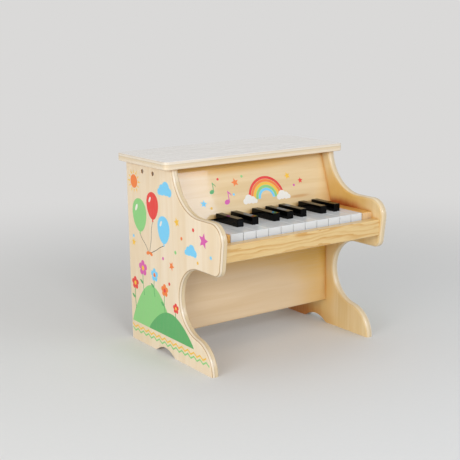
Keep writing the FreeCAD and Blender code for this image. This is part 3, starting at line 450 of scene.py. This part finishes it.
def printed_ink(add, place, tint):
    """Solvent ink, screen-printed on the veneer and sealed with it.

    An even satin film in which the wood's fibre and the screen's fine cells still tell.
    """
    fibre = streaks(add, place, "Z", 1.0, 24, 3.0)
    # Screen cells: 0.2 mm in the real screen, drawn 0.6 mm so that they show
    cells = add("TexVoronoi", place, 1 / (0.6 * MM))
    # Where a fibre stands up, the film is thin and lets a tenth of the veneer's colour through
    veneer = (0.8, 0.68, 0.5)
    thin = (*(0.82 * c + 0.10 * w for c, w in zip(tint[:3], veneer)), 1.0)
    film = add("MapRange", fibre, 0.45, 0.8, 0.0, 0.8)
    inked = add("Mix.RGBA", film, tint, thin)
    satin = add("MapRange", cells, 0.0, 1.0, 0.34, 0.46)
    raised = add("Bump", {"Strength": 0.1, "Distance": 0.03 * MM, "Height": cells})
    seal = {"IOR": 1.5, "Coat Weight": 0.3, "Coat Roughness": 0.15}
    return add("BsdfPrincipled", {"Base Color": inked, "Roughness": satin, "Normal": raised, **seal})


def matt_painted_board(add, place, tint, backdrop):
    """Studio floor of painted board: matt, even, with a trace of roller texture."""
    roller = add("TexNoise", place, 1 / (6 * MM), 3.0)
    rolled = add("Mix.RGBA", roller, tint, darker(tint, 0.975))
    surface = add("BsdfPrincipled", {"Base Color": rolled, "Roughness": 0.7, "IOR": 1.45})
    # Far from the object the floor runs out into the backdrop's colour, so that no horizon shows
    path = add("LightPath").outputs
    seen = add("Math.MAXIMUM", path["Is Camera Ray"], path["Is Glossy Ray"])
    away = add("VectorMath.LENGTH", place)
    far = add("MapRange.SMOOTHSTEP", away, 0.28, 1.4)
    share = add("Math.MULTIPLY", far, seen)
    plain = add("Emission", {"Color": backdrop, "Strength": 1.0})
    return add("MixShader", share, surface, plain)


def finish(material, *nodes):
    """Puts a material on every slot of the CAD nodes."""
    for node in nodes:
        mesh = frame["nodes"][node].data
        if not mesh.materials:
            mesh.materials.append(material)
        for index in range(len(mesh.materials)):
            mesh.materials[index] = material


def finish_board(node, name, front, back, axis, side, grain, **looks):
    """Finishes a straight board in plywood, with its front veneer on the given side of the axis."""
    low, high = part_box(node)
    outward = [side if i == axis else 0.0 for i in range(3)]
    start = min(low[axis] * side, high[axis] * side)
    layers = (front, back, outward, start, high[axis] - low[axis], grain)
    finish(new_material(name, birch_plywood, *layers, **looks), node)


# ---------------------------------------------------------------- meshes


def new_piece(name, shape, materials, smooth=False):
    """Makes an object of a bmesh and frees it."""
    bmesh.ops.recalc_face_normals(shape, faces=shape.faces)
    mesh = bpy.data.meshes.new(name)
    shape.to_mesh(mesh)
    shape.free()
    for material in materials:
        mesh.materials.append(material)
    if smooth:
        mesh.shade_smooth()
    piece = bpy.data.objects.new(name, mesh)
    bpy.context.scene.collection.objects.link(piece)
    return piece


def welded(node):
    """A bmesh of a CAD node with its split corners joined again."""
    shape = bmesh.new()
    shape.from_mesh(frame["nodes"][node].data)
    bmesh.ops.remove_doubles(shape, verts=shape.verts, dist=1e-6)
    return shape


def solid_boxes(node):
    """Lowest and highest corner of each separate solid of a CAD node."""
    shape = welded(node)
    left = set(shape.verts)
    boxes = []
    while left:
        reached = [left.pop()]
        for vert in reached:
            for edge in vert.link_edges:
                other = edge.other_vert(vert)
                if other in left:
                    left.remove(other)
                    reached.append(other)
        boxes.append([Vector([pick(v.co[i] for v in reached) for i in range(3)]) for pick in (min, max)])
    shape.free()
    return boxes


def add_screw(shape, top, outward, head_radius, head_height, shank_radius, shank_length):
    """Adds a pan-head screw with a cross recess; top is the middle of its head's top."""
    hardware = bpy.context.scene.piano_hardware
    turns = [tau * i / hardware.head_sides for i in range(hardware.head_sides)]
    across = outward.orthogonal().normalized()
    other = outward.cross(across)

    def spot(x, y, down):
        return shape.verts.new(top + across * x + other * y - outward * down)

    def ring(radius, down):
        return [spot(radius * cos(a), radius * sin(a), down) for a in turns]

    def join(upper, lower):
        for i in range(len(upper)):
            shape.faces.new((upper[i - 1], upper[i], lower[i], lower[i - 1]))

    # Head: a flat crown, a rounded shoulder and a straight rim, then the shank with its point
    crown = previous = ring(0.74 * head_radius, 0.0)
    for radius, down in (
        (0.87 * head_radius, 0.08 * head_height),
        (0.96 * head_radius, 0.28 * head_height),
        (head_radius, 0.6 * head_height),
        (head_radius, head_height),
        (shank_radius, head_height),
        (shank_radius, head_height + 0.88 * shank_length),
        (0.2 * shank_radius, head_height + shank_length),
    ):
        lower = ring(radius, down)
        join(previous, lower)
        previous = lower
    shape.faces.new(previous)

    # Cross recess: twelve corners that narrow towards its floor
    def cross(reach, width, down):
        half = width / 2
        corners = []
        arm = [(half, half), (half, reach), (-half, reach)]
        for _ in range(4):
            corners += [spot(x, y, down) for x, y in arm]
            arm = [(-y, x) for x, y in arm]
        return corners

    mouth = cross(0.6 * head_radius, hardware.slot_width, 0.0)
    floor = cross(0.34 * head_radius, 0.6 * hardware.slot_width, 0.62 * head_height)
    join(mouth, floor)
    shape.faces.new(floor)
    rims = [shape.edges.get((loop[i - 1], loop[i])) for loop in (crown, mouth) for i in range(len(loop))]
    bmesh.ops.triangle_fill(shape, use_beauty=True, edges=rims)


def soft_strip(node, name, material):
    """A felt strip in a CAD node's place: softened edges, and faces that give a little."""
    shape = welded(node)
    bmesh.ops.dissolve_limit(shape, angle_limit=0.02, verts=shape.verts, edges=shape.edges)
    sharp = [e for e in shape.edges if len(e.link_faces) == 2 and e.calc_face_angle(0.0) > 0.6]
    bmesh.ops.bevel(shape, geom=sharp, offset=0.35 * MM, segments=2, profile=0.5, affect="EDGES", clamp_overlap=True)
    low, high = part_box(node)
    lengths = 60
    for i in range(1, lengths):
        cut = (low[0] + (high[0] - low[0]) * i / lengths, 0, 0)
        whole = [*shape.verts, *shape.edges, *shape.faces]
        bmesh.ops.bisect_plane(shape, geom=whole, plane_co=cut, plane_no=(1, 0, 0), dist=1e-7)
    # Dents up to 0.12 mm deep, about 5 mm apart
    shape.normal_update()
    for vert in shape.verts:
        give = 0.5 + 0.5 * noise.noise(vert.co / (5 * MM))
        vert.co -= vert.normal * 0.12 * MM * give
    piece = new_piece(name, shape, [material], smooth=True)
    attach(piece, "case")
    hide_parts(node)


# ---------------------------------------------------------------- printed shapes
# A shape is (ink, layer, outline); an outline is a closed list of points in millimetres.


def polar(middle, reach, turn):
    """The point at this reach from the middle, in the direction of the turn."""
    return middle[0] + reach * cos(turn), middle[1] + reach * sin(turn)


def ellipse(middle, wide, high, tilt=0.0, steps=48):
    """Outline of an ellipse by its half width and half height."""
    c, s = cos(tilt), sin(tilt)
    flat = [(wide * cos(a), high * sin(a)) for a in (tau * i / steps for i in range(steps))]
    return [(middle[0] + x * c - y * s, middle[1] + x * s + y * c) for x, y in flat]


def dot(ink, middle, radius):
    """A round spot."""
    return ink, 0, ellipse(middle, radius, radius, steps=28)


def star(ink, middle, radius, tilt):
    """A blunt star with five points."""
    inner = 0.46 * radius
    turns = [pi / 2 + tilt + pi * i / 5 for i in range(10)]
    return ink, 0, [polar(middle, inner if i % 2 else radius, a) for i, a in enumerate(turns)]


def stroke(points, width):
    """Outline of a line of even width, with mitred corners up to about three times as long."""
    mitre_limit = 0.35
    spots = [Vector(p) for p in points]
    runs = [(b - a).normalized() for a, b in zip(spots, spots[1:])]
    left, right = [], []
    for spot, a, b in zip(spots, [runs[0], *runs], [*runs, runs[-1]]):
        normal = Vector((-(a.y + b.y), a.x + b.x)).normalized()
        reach = normal * (width / 2 / max(mitre_limit, normal.dot(Vector((-a.y, a.x)))))
        left.append(tuple(spot + reach))
        right.append(tuple(spot - reach))
    return left + right[::-1]


def flower(middle, radius, petal_ink, heart_ink, stem_foot):
    """Five round petals about a heart, on a bent stem with one leaf."""
    (x0, y0), (x1, y1) = stem_foot, middle
    bend = [(x0 + (x1 - x0) * t + 2.2 * sin(pi * t), y0 + (y1 - y0) * t) for t in (i / 12 for i in range(13))]
    leaf = (x0 + 0.42 * (x1 - x0) + 6.4, y0 + 0.42 * (y1 - y0) + 2.2)
    turns = [tau * i / 90 for i in range(90)]
    petals = [polar(middle, radius * (0.58 + 0.42 * sqrt(abs(cos(2.5 * a)))), a + 0.3) for a in turns]
    return [
        ("moss", 2, stroke(bend, 1.5)),
        ("moss", 3, ellipse(leaf, 5.4, 2.1, 0.5, 24)),
        (petal_ink, 4, petals),
        (heart_ink, 5, ellipse(middle, 0.32 * radius, 0.32 * radius, steps=28)),
    ]


def balloon(middle, wide, high, ink, tie):
    """An egg-shaped balloon with its knot, a highlight and a string to the tie."""
    x, y = middle
    turns = [tau * i / 60 for i in range(60)]
    egg = [(x + wide * cos(a) * (1 + 0.15 * sin(a)), y + high * sin(a)) for a in turns]
    foot = y - high
    knot = [(x, foot + 1.5), (x - 2.6, foot - 3.2), (x + 2.6, foot - 3.2)]
    string = []
    for t in (i / 24 for i in range(25)):
        sway = 2.0 * sin(2.2 * pi * t) * (1 - t)
        string.append((x + (tie[0] - x) * t + sway, foot - 3 + (tie[1] - foot + 3) * t))
    shine = ellipse((x + 0.42 * wide, y + 0.42 * high), 0.13 * wide, 0.24 * high, 0.55, 24)
    return [("coal", 0, stroke(string, 0.9)), (ink, 2, knot), (ink, 3, egg), ("pale", 4, shine)]


def cloud(middle, wide, ink, layer):
    """A cloud of four bumps with a level foot, in one outline."""
    bumps = ((-0.31, -0.01, 0.16), (-0.08, 0.10, 0.25), (0.17, 0.03, 0.20), (0.36, -0.05, 0.12))
    foot = 0.17
    outline = []
    for turn in (tau * i / 96 for i in range(96)):
        c, s = cos(turn), sin(turn)
        reach = 0.0
        for x, y, radius in bumps:
            inside = radius**2 - (x * s - y * c) ** 2
            if inside > 0:
                reach = max(reach, x * c + y * s + sqrt(inside))
        if s < 0:
            reach = min(reach, -foot / s)
        outline.append(polar(middle, wide * reach, turn))
    return [(ink, layer, outline)]


def sun(middle, radius):
    """A disc with a ring of rays, long and short by turns."""
    shapes = [("orange", 0, ellipse(middle, radius, radius))]
    for i in range(12):
        turn = tau * i / 12
        side = Vector((-sin(turn), cos(turn))) * 0.16 * radius
        near = Vector(polar(middle, radius * 1.2, turn))
        far = polar(middle, radius * (1.72 if i % 2 else 1.92), turn)
        shapes.append(("yellow", 0, [tuple(near + side), far, tuple(near - side)]))
    return shapes


def note(middle, size, ink):
    """A quaver: a tilted head, its stem and a curved flag."""
    x, y = middle
    stem = x + 0.78 * size
    steps = [i / 12 for i in range(13)]
    flag = [(stem + size * (0.1 + 1.1 * sin(1.5 * t)), y + size * (3.2 - 1.5 * t)) for t in steps]
    inner = [(u - 0.34 * size * (1 - t), v - 0.30 * size * (1 - 0.5 * t)) for (u, v), t in zip(flag, steps)]
    return [
        (ink, 0, ellipse(middle, size, 0.72 * size, 0.35, 32)),
        (ink, 1, stroke([(stem, y + 0.2 * size), (stem, y + 3.35 * size)], 0.3 * size)),
        (ink, 2, flag + inner[::-1]),
    ]


def hill(start, end, base, height, ink, layer):
    """A rounded hill on a level base."""
    steps = [i / 48 for i in range(49)]
    top = [(start + (end - start) * t, base + 0.4 + height * sin(pi * t) ** 0.85) for t in steps]
    return [(ink, layer, [(start, base), *top, (end, base)])]


def rainbow(middle, outer, band):
    """Five half-round bands, half a millimetre apart."""
    shapes = []
    turns = [pi * i / 48 for i in range(49)]
    for i, ink in enumerate(("red", "orange", "yellow", "leaf", "sky")):
        far, near = outer - i * band, outer - (i + 1) * band + 0.5
        arc = [polar(middle, far, a) for a in turns]
        back = [polar(middle, near, a) for a in reversed(turns)]
        shapes.append((ink, 0, arc + back))
    return shapes


def zigzag(rear, strokes, middle, ink):
    """A zigzag line of the border: so many strokes forward from the rear, in the settings' pitch."""
    prints = bpy.context.scene.piano_print
    step, swing = prints.wave_pitch / MM / 2, prints.wave_swing / MM
    points = [(rear - step * i, middle + (-swing if i % 2 else swing)) for i in range(strokes + 1)]
    return [(ink, 0, stroke(points, prints.wave_line / MM))]


def print_shapes(name, shapes, place):
    """Lays the shapes as closed films of ink on the surface that place(u, v, lift) gives."""
    prints = bpy.context.scene.piano_print
    inks = ("leaf", "moss", "red", "orange", "yellow", "sky", "rose", "coal", "pale")
    shape = bmesh.new()
    for ink, layer, outline in shapes:
        # The film reaches 0.05 mm into the veneer, so that it has no gap under it
        upper, lower = (
            [shape.verts.new(place(u * MM, v * MM, lift)) for u, v in outline]
            for lift in (prints.film + layer * prints.step, -0.05 * MM)
        )
        faces = [shape.faces.new(upper), shape.faces.new(lower[::-1])]
        for i in range(len(outline)):
            faces.append(shape.faces.new((upper[i - 1], lower[i - 1], lower[i], upper[i])))
        for face in faces:
            face.material_index = inks.index(ink)
    films = []
    for ink in inks:
        known = bpy.data.materials.get(f"Screen-printed ink, {ink}")
        films.append(known or new_material(f"Screen-printed ink, {ink}", printed_ink, getattr(prints, ink)))
    piece = new_piece(name, shape, films)
    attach(piece, "case")


# ---------------------------------------------------------------- operators


class PIANO_OT_side_panels(Operator):
    """Finish the two side panels in lacquered birch plywood"""

    bl_idname = "piano.side_panels"
    bl_label = "Side panels"

    def execute(self, context):
        wood = context.scene.piano_wood
        # Painted shade on the inner faces beside the keys, low at the back and beside the lower panel: tint,
        # strength, middle in depth and height in metres, reach in depth and height in millimetres
        runs = (
            (wood.lacquer_run, 0.75, -0.042, 0.226, 80, 44),
            (wood.lacquer_pool, 1.0, -0.040, 0.203, 70, 18),
            (wood.lacquer_run, 1.0, 0.075, 0.0, 138, 56),
            (wood.lacquer_pool, 0.7, 0.075, 0.0, 100, 42),
            (wood.lacquer_run, 0.8, -0.004, 0.158, 34, 40),
            (wood.lacquer_run, 0.5, -0.002, 0.055, 30, 44),
        )
        for node, side in SIDES.items():
            blushes = [
                (tint, strength, (side * INNER_FACE, y, z), (4, deep, high))
                for tint, strength, y, z, deep, high in runs
            ]
            name = f"Lacquered birch plywood, {node.replace('_', ' ')}"
            # The inner faces carry painted shade: a darker, more golden veneer and the runs above
            finish_board(node, name, "side", "inner", 0, side, "Z", gloss=0.30, blushes=blushes)
        return {"FINISHED"}


class PIANO_OT_lid(Operator):
    """Finish the lid in lacquered birch plywood with its grain from side to side"""

    bl_idname = "piano.lid"
    bl_label = "Lid"

    def execute(self, context):
        polish = {"gloss": 0.20, "coat": 1.0, "glue": 0.35, "plies": ("lid_ply", "lid_core")}
        finish_board("top_board", "Lacquered birch plywood, lid", "lid", "side", 2, 1, "X", **polish)
        return {"FINISHED"}


def front_face():
    """Foot and head of the front panel's tilted face in the middle plane, and its outward normal."""
    low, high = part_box("front_panel")
    rise = high[2] - low[2]
    # The level depth of the box is the lean plus the board's thickness measured level
    depth = high[1] - low[1]
    lean = depth - FRONT_BOARD
    for _ in range(20):
        lean = depth - FRONT_BOARD * sqrt(1 + (lean / rise) ** 2)
    foot = Vector((0.0, low[1], low[2]))
    head = Vector((0.0, low[1] + lean, high[2]))
    up = (head - foot).normalized()
    return foot, head, Vector((0.0, -up.z, up.y))


class PIANO_OT_front_panel(Operator):
    """Finish the tilted front panel in honey-coloured plywood"""

    bl_idname = "piano.front_panel"
    bl_label = "Front panel"

    def execute(self, context):
        wood = context.scene.piano_wood
        foot, head, normal = front_face()
        blushes = (
            (wood.mineral, 0.8, (0.080, 0.0, 0.2225), (30, 1000, 3.4)),
            # Painted shadow of the lid: a golden band under its front edge
            (wood.lacquer_run, 0.95, (-0.05, 0.0, head.z - 8 * MM), (230, 1000, 13)),
        )
        layers = ("front", "board", normal, foot.dot(normal) - FRONT_BOARD, FRONT_BOARD, "X")
        looks = {"gloss": 0.26, "coat": 1.0, "blushes": blushes}
        finish(new_material("Lacquered birch plywood, front panel", birch_plywood, *layers, **looks), "front_panel")
        return {"FINISHED"}


class PIANO_OT_plain_boards(Operator):
    """Finish the lower panel, the key bed, the back panel and the tone bar board"""

    bl_idname = "piano.plain_boards"
    bl_label = "Plain boards"

    def execute(self, context):
        wood = context.scene.piano_wood
        # Painted shade, golden: along the top of the lower panel under the rail, along its right end and most in the
        # corner between
        golden = (
            (wood.heartwood, 0.85, (0.0, 0.0, 0.150), (190, 1000, 42)),
            (wood.heartwood, 0.50, (0.1415, 0.0, 0.100), (75, 1000, 400)),
            (wood.heartwood, 0.85, (0.130, 0.0, 0.145), (150, 1000, 78)),
        )
        for node, axis in (("lower_panel", 1), ("back_panel", 1), ("key_bed", 2), ("tone_bar_board", 2)):
            name = f"Sealed birch plywood, {node.replace('_', ' ')}"
            blushes = golden if node == "lower_panel" else ()
            finish_board(node, name, "board", "board", axis, 1, "X", gloss=0.36, blushes=blushes)
        return {"FINISHED"}


class PIANO_OT_pine_strips(Operator):
    """Finish the front rail, the key blocks, the tone bar rails and the dowels in pine"""

    bl_idname = "piano.pine_strips"
    bl_label = "Pine strips"

    def execute(self, context):
        wood = context.scene.piano_wood
        rail_heart, block_heart = (-0.02, -0.075, 0.145), (0.03, -0.02, 0.150)
        rings = (wood.rail_early, wood.rail_late, "X", rail_heart)
        rail = new_material("Lacquered pine, planed, rail", lacquered_pine, *rings)
        finish(rail, "front_rail", "tone_bar_rails", "case_dowels")
        # The lit right block's sawn end gets a painted highlight; the left one, in the side's shadow, gets none
        for node, dryness in (("left_key_block", 0.0), ("right_key_block", 0.7)):
            name = f"Lacquered pine, planed, {node.replace('_', ' ')}"
            rings = (wood.block_early, wood.block_late, "Y", block_heart)
            finish(new_material(name, lacquered_pine, *rings, dryness=dryness), node)
        return {"FINISHED"}


class PIANO_OT_keys(Operator):
    """Finish the natural keys in white lacquer and the sharp keys in black, both sprayed"""

    bl_idname = "piano.keys"
    bl_label = "Keys"

    def execute(self, context):
        keys = context.scene.piano_keys
        for nodes, shade, paint, looks in (
            (WHITE_KEYS, "White", keys.white, {"gloss": 0.16, "mottle": 0.95, "mirror": 0.35}),
            (BLACK_KEYS, "Black", keys.black, {"gloss": 0.03, "mottle": 0.6, "mirror": 0.09}),
        ):
            name = f"{shade} gloss lacquer, sprayed on basswood"
            finish(new_material(name, sprayed_lacquer, paint, **looks), *nodes)
        return {"FINISHED"}


class PIANO_OT_screws(Operator):
    """Model the side screws and the small wood screws with their cross recesses"""

    bl_idname = "piano.screws"
    bl_label = "Screws"

    def execute(self, context):
        hardware = context.scene.piano_hardware
        browned = new_material("Browned steel, tumbled", worked_metal, hardware.browned, 0.55, "Z", 0.5)
        zinc = new_material("Zinc-plated steel, barrel-plated", worked_metal, hardware.zinc, 0.30, "Z", 0.5)
        for node, material, slot in (("side_screws", browned, "dark_screw"), ("wood_screws", zinc, "bright_steel")):
            shape = bmesh.new()
            for low, high in solid_boxes(node):
                span = high - low
                top = (low + high) / 2
                axis = max(range(3), key=lambda i: span[i])
                head = max(span[i] for i in range(3) if i != axis) / 2
                # A head looks away from the case: outward at the sides, backward, or down under the bed
                sign = (1 if top.x > 0 else -1, 1, -1)[axis]
                outward = Vector([sign if i == axis else 0 for i in range(3)])
                top[axis] = high[axis] if sign > 0 else low[axis]
                height = 0.62 * head if axis == 0 else 1.6 * MM
                add_screw(shape, top, outward, head, height, 0.5 * head, span[axis] - height)
            piece = new_piece(f"{node}_cross_recess", shape, [material])
            bevel = piece.modifiers.new("Worn edges", "BEVEL")
            bevel.width, bevel.segments, bevel.limit_method = 0.08 * MM, 2, "ANGLE"
            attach(piece, "case")
            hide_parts(node)
        return {"FINISHED"}


class PIANO_OT_rods_and_combs(Operator):
    """Finish the rods, the nails, the combs and the hammers"""

    bl_idname = "piano.rods_and_combs"
    bl_label = "Rods, combs and hammers"

    def execute(self, context):
        hardware = context.scene.piano_hardware
        rod = new_material("Drawn steel wire", worked_metal, hardware.steel, 0.26, "X", 0.3)
        nail = new_material("Drawn steel nail", worked_metal, hardware.steel, 0.32, "Z", 0.3)
        moulding = new_material("Moulded ABS, spark grain", moulded_abs, hardware.moulding)
        finish(rod, "key_rod", "hammer_rod")
        finish(nail, "tone_bar_nails")
        finish(moulding, "key_comb", "hammer_comb", *HAMMERS)
        return {"FINISHED"}


class PIANO_OT_key_springs(Operator):
    """Model the spring sheet: a foot under the comb and a curved tongue under each key"""

    bl_idname = "piano.key_springs"
    bl_label = "Key springs"

    def execute(self, context):
        tint = context.scene.piano_hardware.steel
        steel = new_material("Blued spring steel, rolled", worked_metal, tint, 0.3, "Y", 0.4)
        low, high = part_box("key_springs")
        comb_low, comb_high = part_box("key_comb")
        thick, half_width = 0.4 * MM, 3.0 * MM
        foot_y = comb_low[1]

        # Foot: a flat strip with rounded ends
        shape = bmesh.new()
        bmesh.ops.create_cube(shape, size=1.0)
        size = Vector((high[0] - low[0], comb_high[1] - foot_y, thick))
        centre = Vector((low[0], foot_y, low[2])) + size / 2
        for vert in shape.verts:
            vert.co = centre + vert.co * size
        upright = [e for e in shape.edges if abs(e.verts[0].co.z - e.verts[1].co.z) > thick / 2]
        bmesh.ops.bevel(shape, geom=upright, offset=1.5 * MM, segments=5, profile=0.5, affect="EDGES")
        foot = new_piece("key_spring_foot", shape, [steel])
        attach(foot, "case")
        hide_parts("key_springs")

        # Tongues: each lifts in an even curve from the foot to just under its key, and ends round
        for joint in PRESS_JOINTS:
            middle = joint["pos_m"][0]
            shape = bmesh.new()
            rows = []
            for t in (i / 24 for i in range(25)):
                y = foot_y + thick + (low[1] - foot_y - thick) * t
                z = low[2] + thick / 2 + (high[2] - low[2] - thick) * t**1.25
                close = max(0.0, (t - 0.9) / 0.1)
                half = half_width * sqrt(max(0.09, 1 - close**2))
                corners = ((-1, -1), (1, -1), (1, 1), (-1, 1))
                rows.append([shape.verts.new((middle + u * half, y, z + v * thick / 2)) for u, v in corners])
            for a, b in zip(rows, rows[1:]):
                for k in range(4):
                    shape.faces.new((a[k - 1], a[k], b[k], b[k - 1]))
            shape.faces.new(rows[0][::-1])
            shape.faces.new(rows[-1])
            tongue = new_piece(f"key_spring_tongue_{joint['child'][4:]}", shape, [steel])
            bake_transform(tongue)
        return {"FINISHED"}


class PIANO_OT_felt_strips(Operator):
    """Model the felt strips under the keys and under the tone bars"""

    bl_idname = "piano.felt_strips"
    bl_label = "Felt strips"

    def execute(self, context):
        felt = new_material("Pressed wool felt", pressed_felt, context.scene.piano_hardware.felt)
        soft_strip("key_felts", "key_felt_strips", felt)
        soft_strip("tone_bar_felts", "tone_bar_felt_strips", felt)
        return {"FINISHED"}


class PIANO_OT_tone_bars(Operator):
    """Finish the tone bars in brushed aluminium"""

    bl_idname = "piano.tone_bars"
    bl_label = "Tone bars"

    def execute(self, context):
        aluminium = context.scene.piano_hardware.aluminium
        finish(new_material("Aluminium bar, brushed", worked_metal, aluminium, 0.34, "Y", 0.4), "tone_bars")
        return {"FINISHED"}


class PIANO_OT_side_prints(Operator):
    """Print the garden scene and the zigzag border on the outer face of both sides"""

    bl_idname = "piano.side_prints"
    bl_label = "Side prints"

    def execute(self, context):
        shapes = zigzag(125, 26, 22.5, "yellow") + zigzag(125, 27, 16.5, "leaf")
        shapes += hill(-4, 124, 30, 70, "leaf", 0) + hill(-56, 72, 30, 38, "moss", 1)
        shapes += flower((112, 94), 10.5, "red", "yellow", (111, 52))
        shapes += flower((86, 123), 12.5, "rose", "yellow", (84, 80))
        shapes += flower((51, 119), 10.5, "sky", "orange", (52, 84))
        shapes += flower((22, 101), 10.0, "orange", "red", (22, 58))
        shapes += flower((-9, 80), 8.0, "red", "yellow", (-10, 50))
        tie = (64, 150)
        shapes += balloon((91, 206), 21, 26, "leaf", tie)
        shapes += balloon((51, 226), 17, 21, "red", tie)
        shapes += balloon((20, 194), 17, 21, "sky", tie)
        shapes += [
            ("orange", 5, ellipse((59.4, 150.4), 4.8, 2.7, 0.35, 24)),
            ("orange", 6, ellipse((68.6, 150.4), 4.8, 2.7, -0.35, 24)),
        ]
        shapes += sun((105, 257), 10.5) + cloud((14, 253), 42, "sky", 0) + cloud((-54, 174), 34, "sky", 0)
        shapes += [
            star("rose", (-88, 197), 12, 0.2),
            star("yellow", (-18, 212), 7.5, -0.3),
            star("orange", (0, 143), 7.5, 0.4),
            star("yellow", (112, 160), 6.5, 0.1),
            dot("red", (-62, 208), 2.8),
            dot("sky", (-106, 176), 2.6),
            dot("orange", (-30, 190), 2.6),
            dot("leaf", (-12, 166), 2.8),
            dot("rose", (24, 150), 2.6),
            dot("red", (8, 114), 2.6),
            dot("sky", (112, 170), 2.6),
            dot("yellow", (-72, 162), 2.4),
        ]
        for node, side in SIDES.items():
            low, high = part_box(node)
            face = low[0] if side < 0 else high[0]
            print_shapes(f"{node}_print", shapes, lambda u, v, lift: Vector((face + side * lift, u, v)))
        return {"FINISHED"}


class PIANO_OT_front_print(Operator):
    """Print a rainbow with notes and stars on the front panel"""

    bl_idname = "piano.front_print"
    bl_label = "Front print"

    def execute(self, context):
        shapes = rainbow((18, 20), 34, 4.6)
        shapes += cloud((-14, 19), 28, "pale", 1) + cloud((50, 19), 28, "pale", 1)
        shapes += note((-56, 22), 5.0, "rose") + note((-80, 40), 4.2, "moss")
        shapes += [
            star("orange", (-36, 50), 7, 0.2),
            star("sky", (-98, 24), 6, -0.2),
            star("yellow", (64, 50), 6, 0.3),
            star("red", (88, 40), 5, 0.0),
            dot("red", (-66, 58), 2.0),
            dot("sky", (-42, 32), 2.0),
            dot("leaf", (-22, 58), 2.0),
            dot("rose", (74, 34), 2.0),
            dot("yellow", (-86, 16), 2.0),
        ]
        foot, head, normal = front_face()
        up = (head - foot).normalized()
        right = Vector((1.0, 0.0, 0.0))
        print_shapes("front_panel_print", shapes, lambda u, v, lift: foot + right * u + up * v + normal * lift)
        return {"FINISHED"}


class PIANO_OT_stage(Operator):
    """Set up the floor, the soft studio light and the camera"""

    bl_idname = "piano.stage"
    bl_label = "Stage"

    def execute(self, context):
        scene = context.scene
        settings = scene.piano_stage
        scene.view_settings.view_transform = "Standard"

        shape = bmesh.new()
        bmesh.ops.create_circle(shape, cap_ends=True, segments=96, radius=9.0)
        board = new_material("Matt painted board", matt_painted_board, settings.floor, settings.backdrop)
        floor = new_piece("studio_floor", shape, [board])

        # The world gives even white light, and shows itself as the backdrop
        world = scene.world = bpy.data.worlds.new("Even studio light")
        world.use_nodes = True
        world.node_tree.nodes.clear()
        add = partial(add_node, world.node_tree)
        path = add("LightPath").outputs
        seen = add("Math.MAXIMUM", path["Is Camera Ray"], path["Is Glossy Ray"])
        shown = add("Math.MAXIMUM", seen, path["Is Transmission Ray"])
        even = add("Background", {"Color": (1.0, 1.0, 1.0, 1.0), "Strength": settings.ambient})
        backdrop = add("Background", {"Color": settings.backdrop, "Strength": 1.0})
        both = add("MixShader", shown, even, backdrop)
        add("OutputWorld", {"Surface": both})

        # Softboxes: place, width, power and tint
        aim = Vector((0.0, 0.0, 0.16))
        white = (1.0, 1.0, 1.0)
        for name, place, width, watts, tint in (
            ("Left softbox", (-1.8, -0.70, 0.60), 1.0, settings.left_power, white),
            ("Front softbox", (-0.55, -2.0, 1.2), 0.6, settings.front_power, white),
            ("Right softbox", (0.70, -1.72, 0.86), 0.70, settings.right_power, settings.daylight[:3]),
            ("Top softbox", (0.1, 0.1, 2.2), 1.4, settings.top_power, white),
        ):
            lamp = bpy.data.lights.new(name, "AREA")
            lamp.shape, lamp.size, lamp.energy, lamp.color = "SQUARE", width, watts, tint
            holder = bpy.data.objects.new(name, lamp)
            holder.location = place
            holder.rotation_euler = (aim - Vector(place)).to_track_quat("-Z", "Y").to_euler()
            scene.collection.objects.link(holder)

        lens = bpy.data.cameras.new("Camera")
        lens.lens, lens.sensor_width, lens.sensor_fit = settings.lens, 36.0, "HORIZONTAL"
        lens.clip_end = 50.0
        camera = bpy.data.objects.new("Camera", lens)
        camera.location = settings.camera_place
        camera.rotation_euler = settings.camera_turn
        scene.collection.objects.link(camera)
        scene.camera = camera
        return {"FINISHED"}


STEPS = (
    PIANO_OT_side_panels,
    PIANO_OT_lid,
    PIANO_OT_front_panel,
    PIANO_OT_plain_boards,
    PIANO_OT_pine_strips,
    PIANO_OT_keys,
    PIANO_OT_screws,
    PIANO_OT_rods_and_combs,
    PIANO_OT_key_springs,
    PIANO_OT_felt_strips,
    PIANO_OT_tone_bars,
    PIANO_OT_side_prints,
    PIANO_OT_front_print,
    PIANO_OT_stage,
)
SETTINGS = {
    "piano_wood": PianoWoodSettings,
    "piano_keys": PianoKeySettings,
    "piano_hardware": PianoHardwareSettings,
    "piano_print": PianoPrintSettings,
    "piano_stage": PianoStageSettings,
}


class PIANO_PT_panel(Panel):
    """Lists the steps that finish the toy piano, and their settings"""

    bl_idname = "PIANO_PT_panel"
    bl_label = "Toy Piano"
    bl_space_type = "VIEW_3D"
    bl_region_type = "UI"
    bl_category = "Toy Piano"

    def draw(self, context):
        for step in STEPS:
            self.layout.operator(step.bl_idname)
        for name, group in SETTINGS.items():
            box = self.layout.box()
            for setting in group.__annotations__:
                box.prop(getattr(context.scene, name), setting)


def register():
    for group in (*SETTINGS.values(), *STEPS, PIANO_PT_panel):
        bpy.utils.register_class(group)
    for name, group in SETTINGS.items():
        setattr(Scene, name, PointerProperty(type=group))


def unregister():
    for name in SETTINGS:
        delattr(Scene, name)
    for group in reversed((*SETTINGS.values(), *STEPS, PIANO_PT_panel)):
        bpy.utils.unregister_class(group)


def main():
    register()
    for step in STEPS:
        group, name = step.bl_idname.split(".")
        getattr(getattr(bpy.ops, group), name)()


if __name__ == "__main__":
    main()
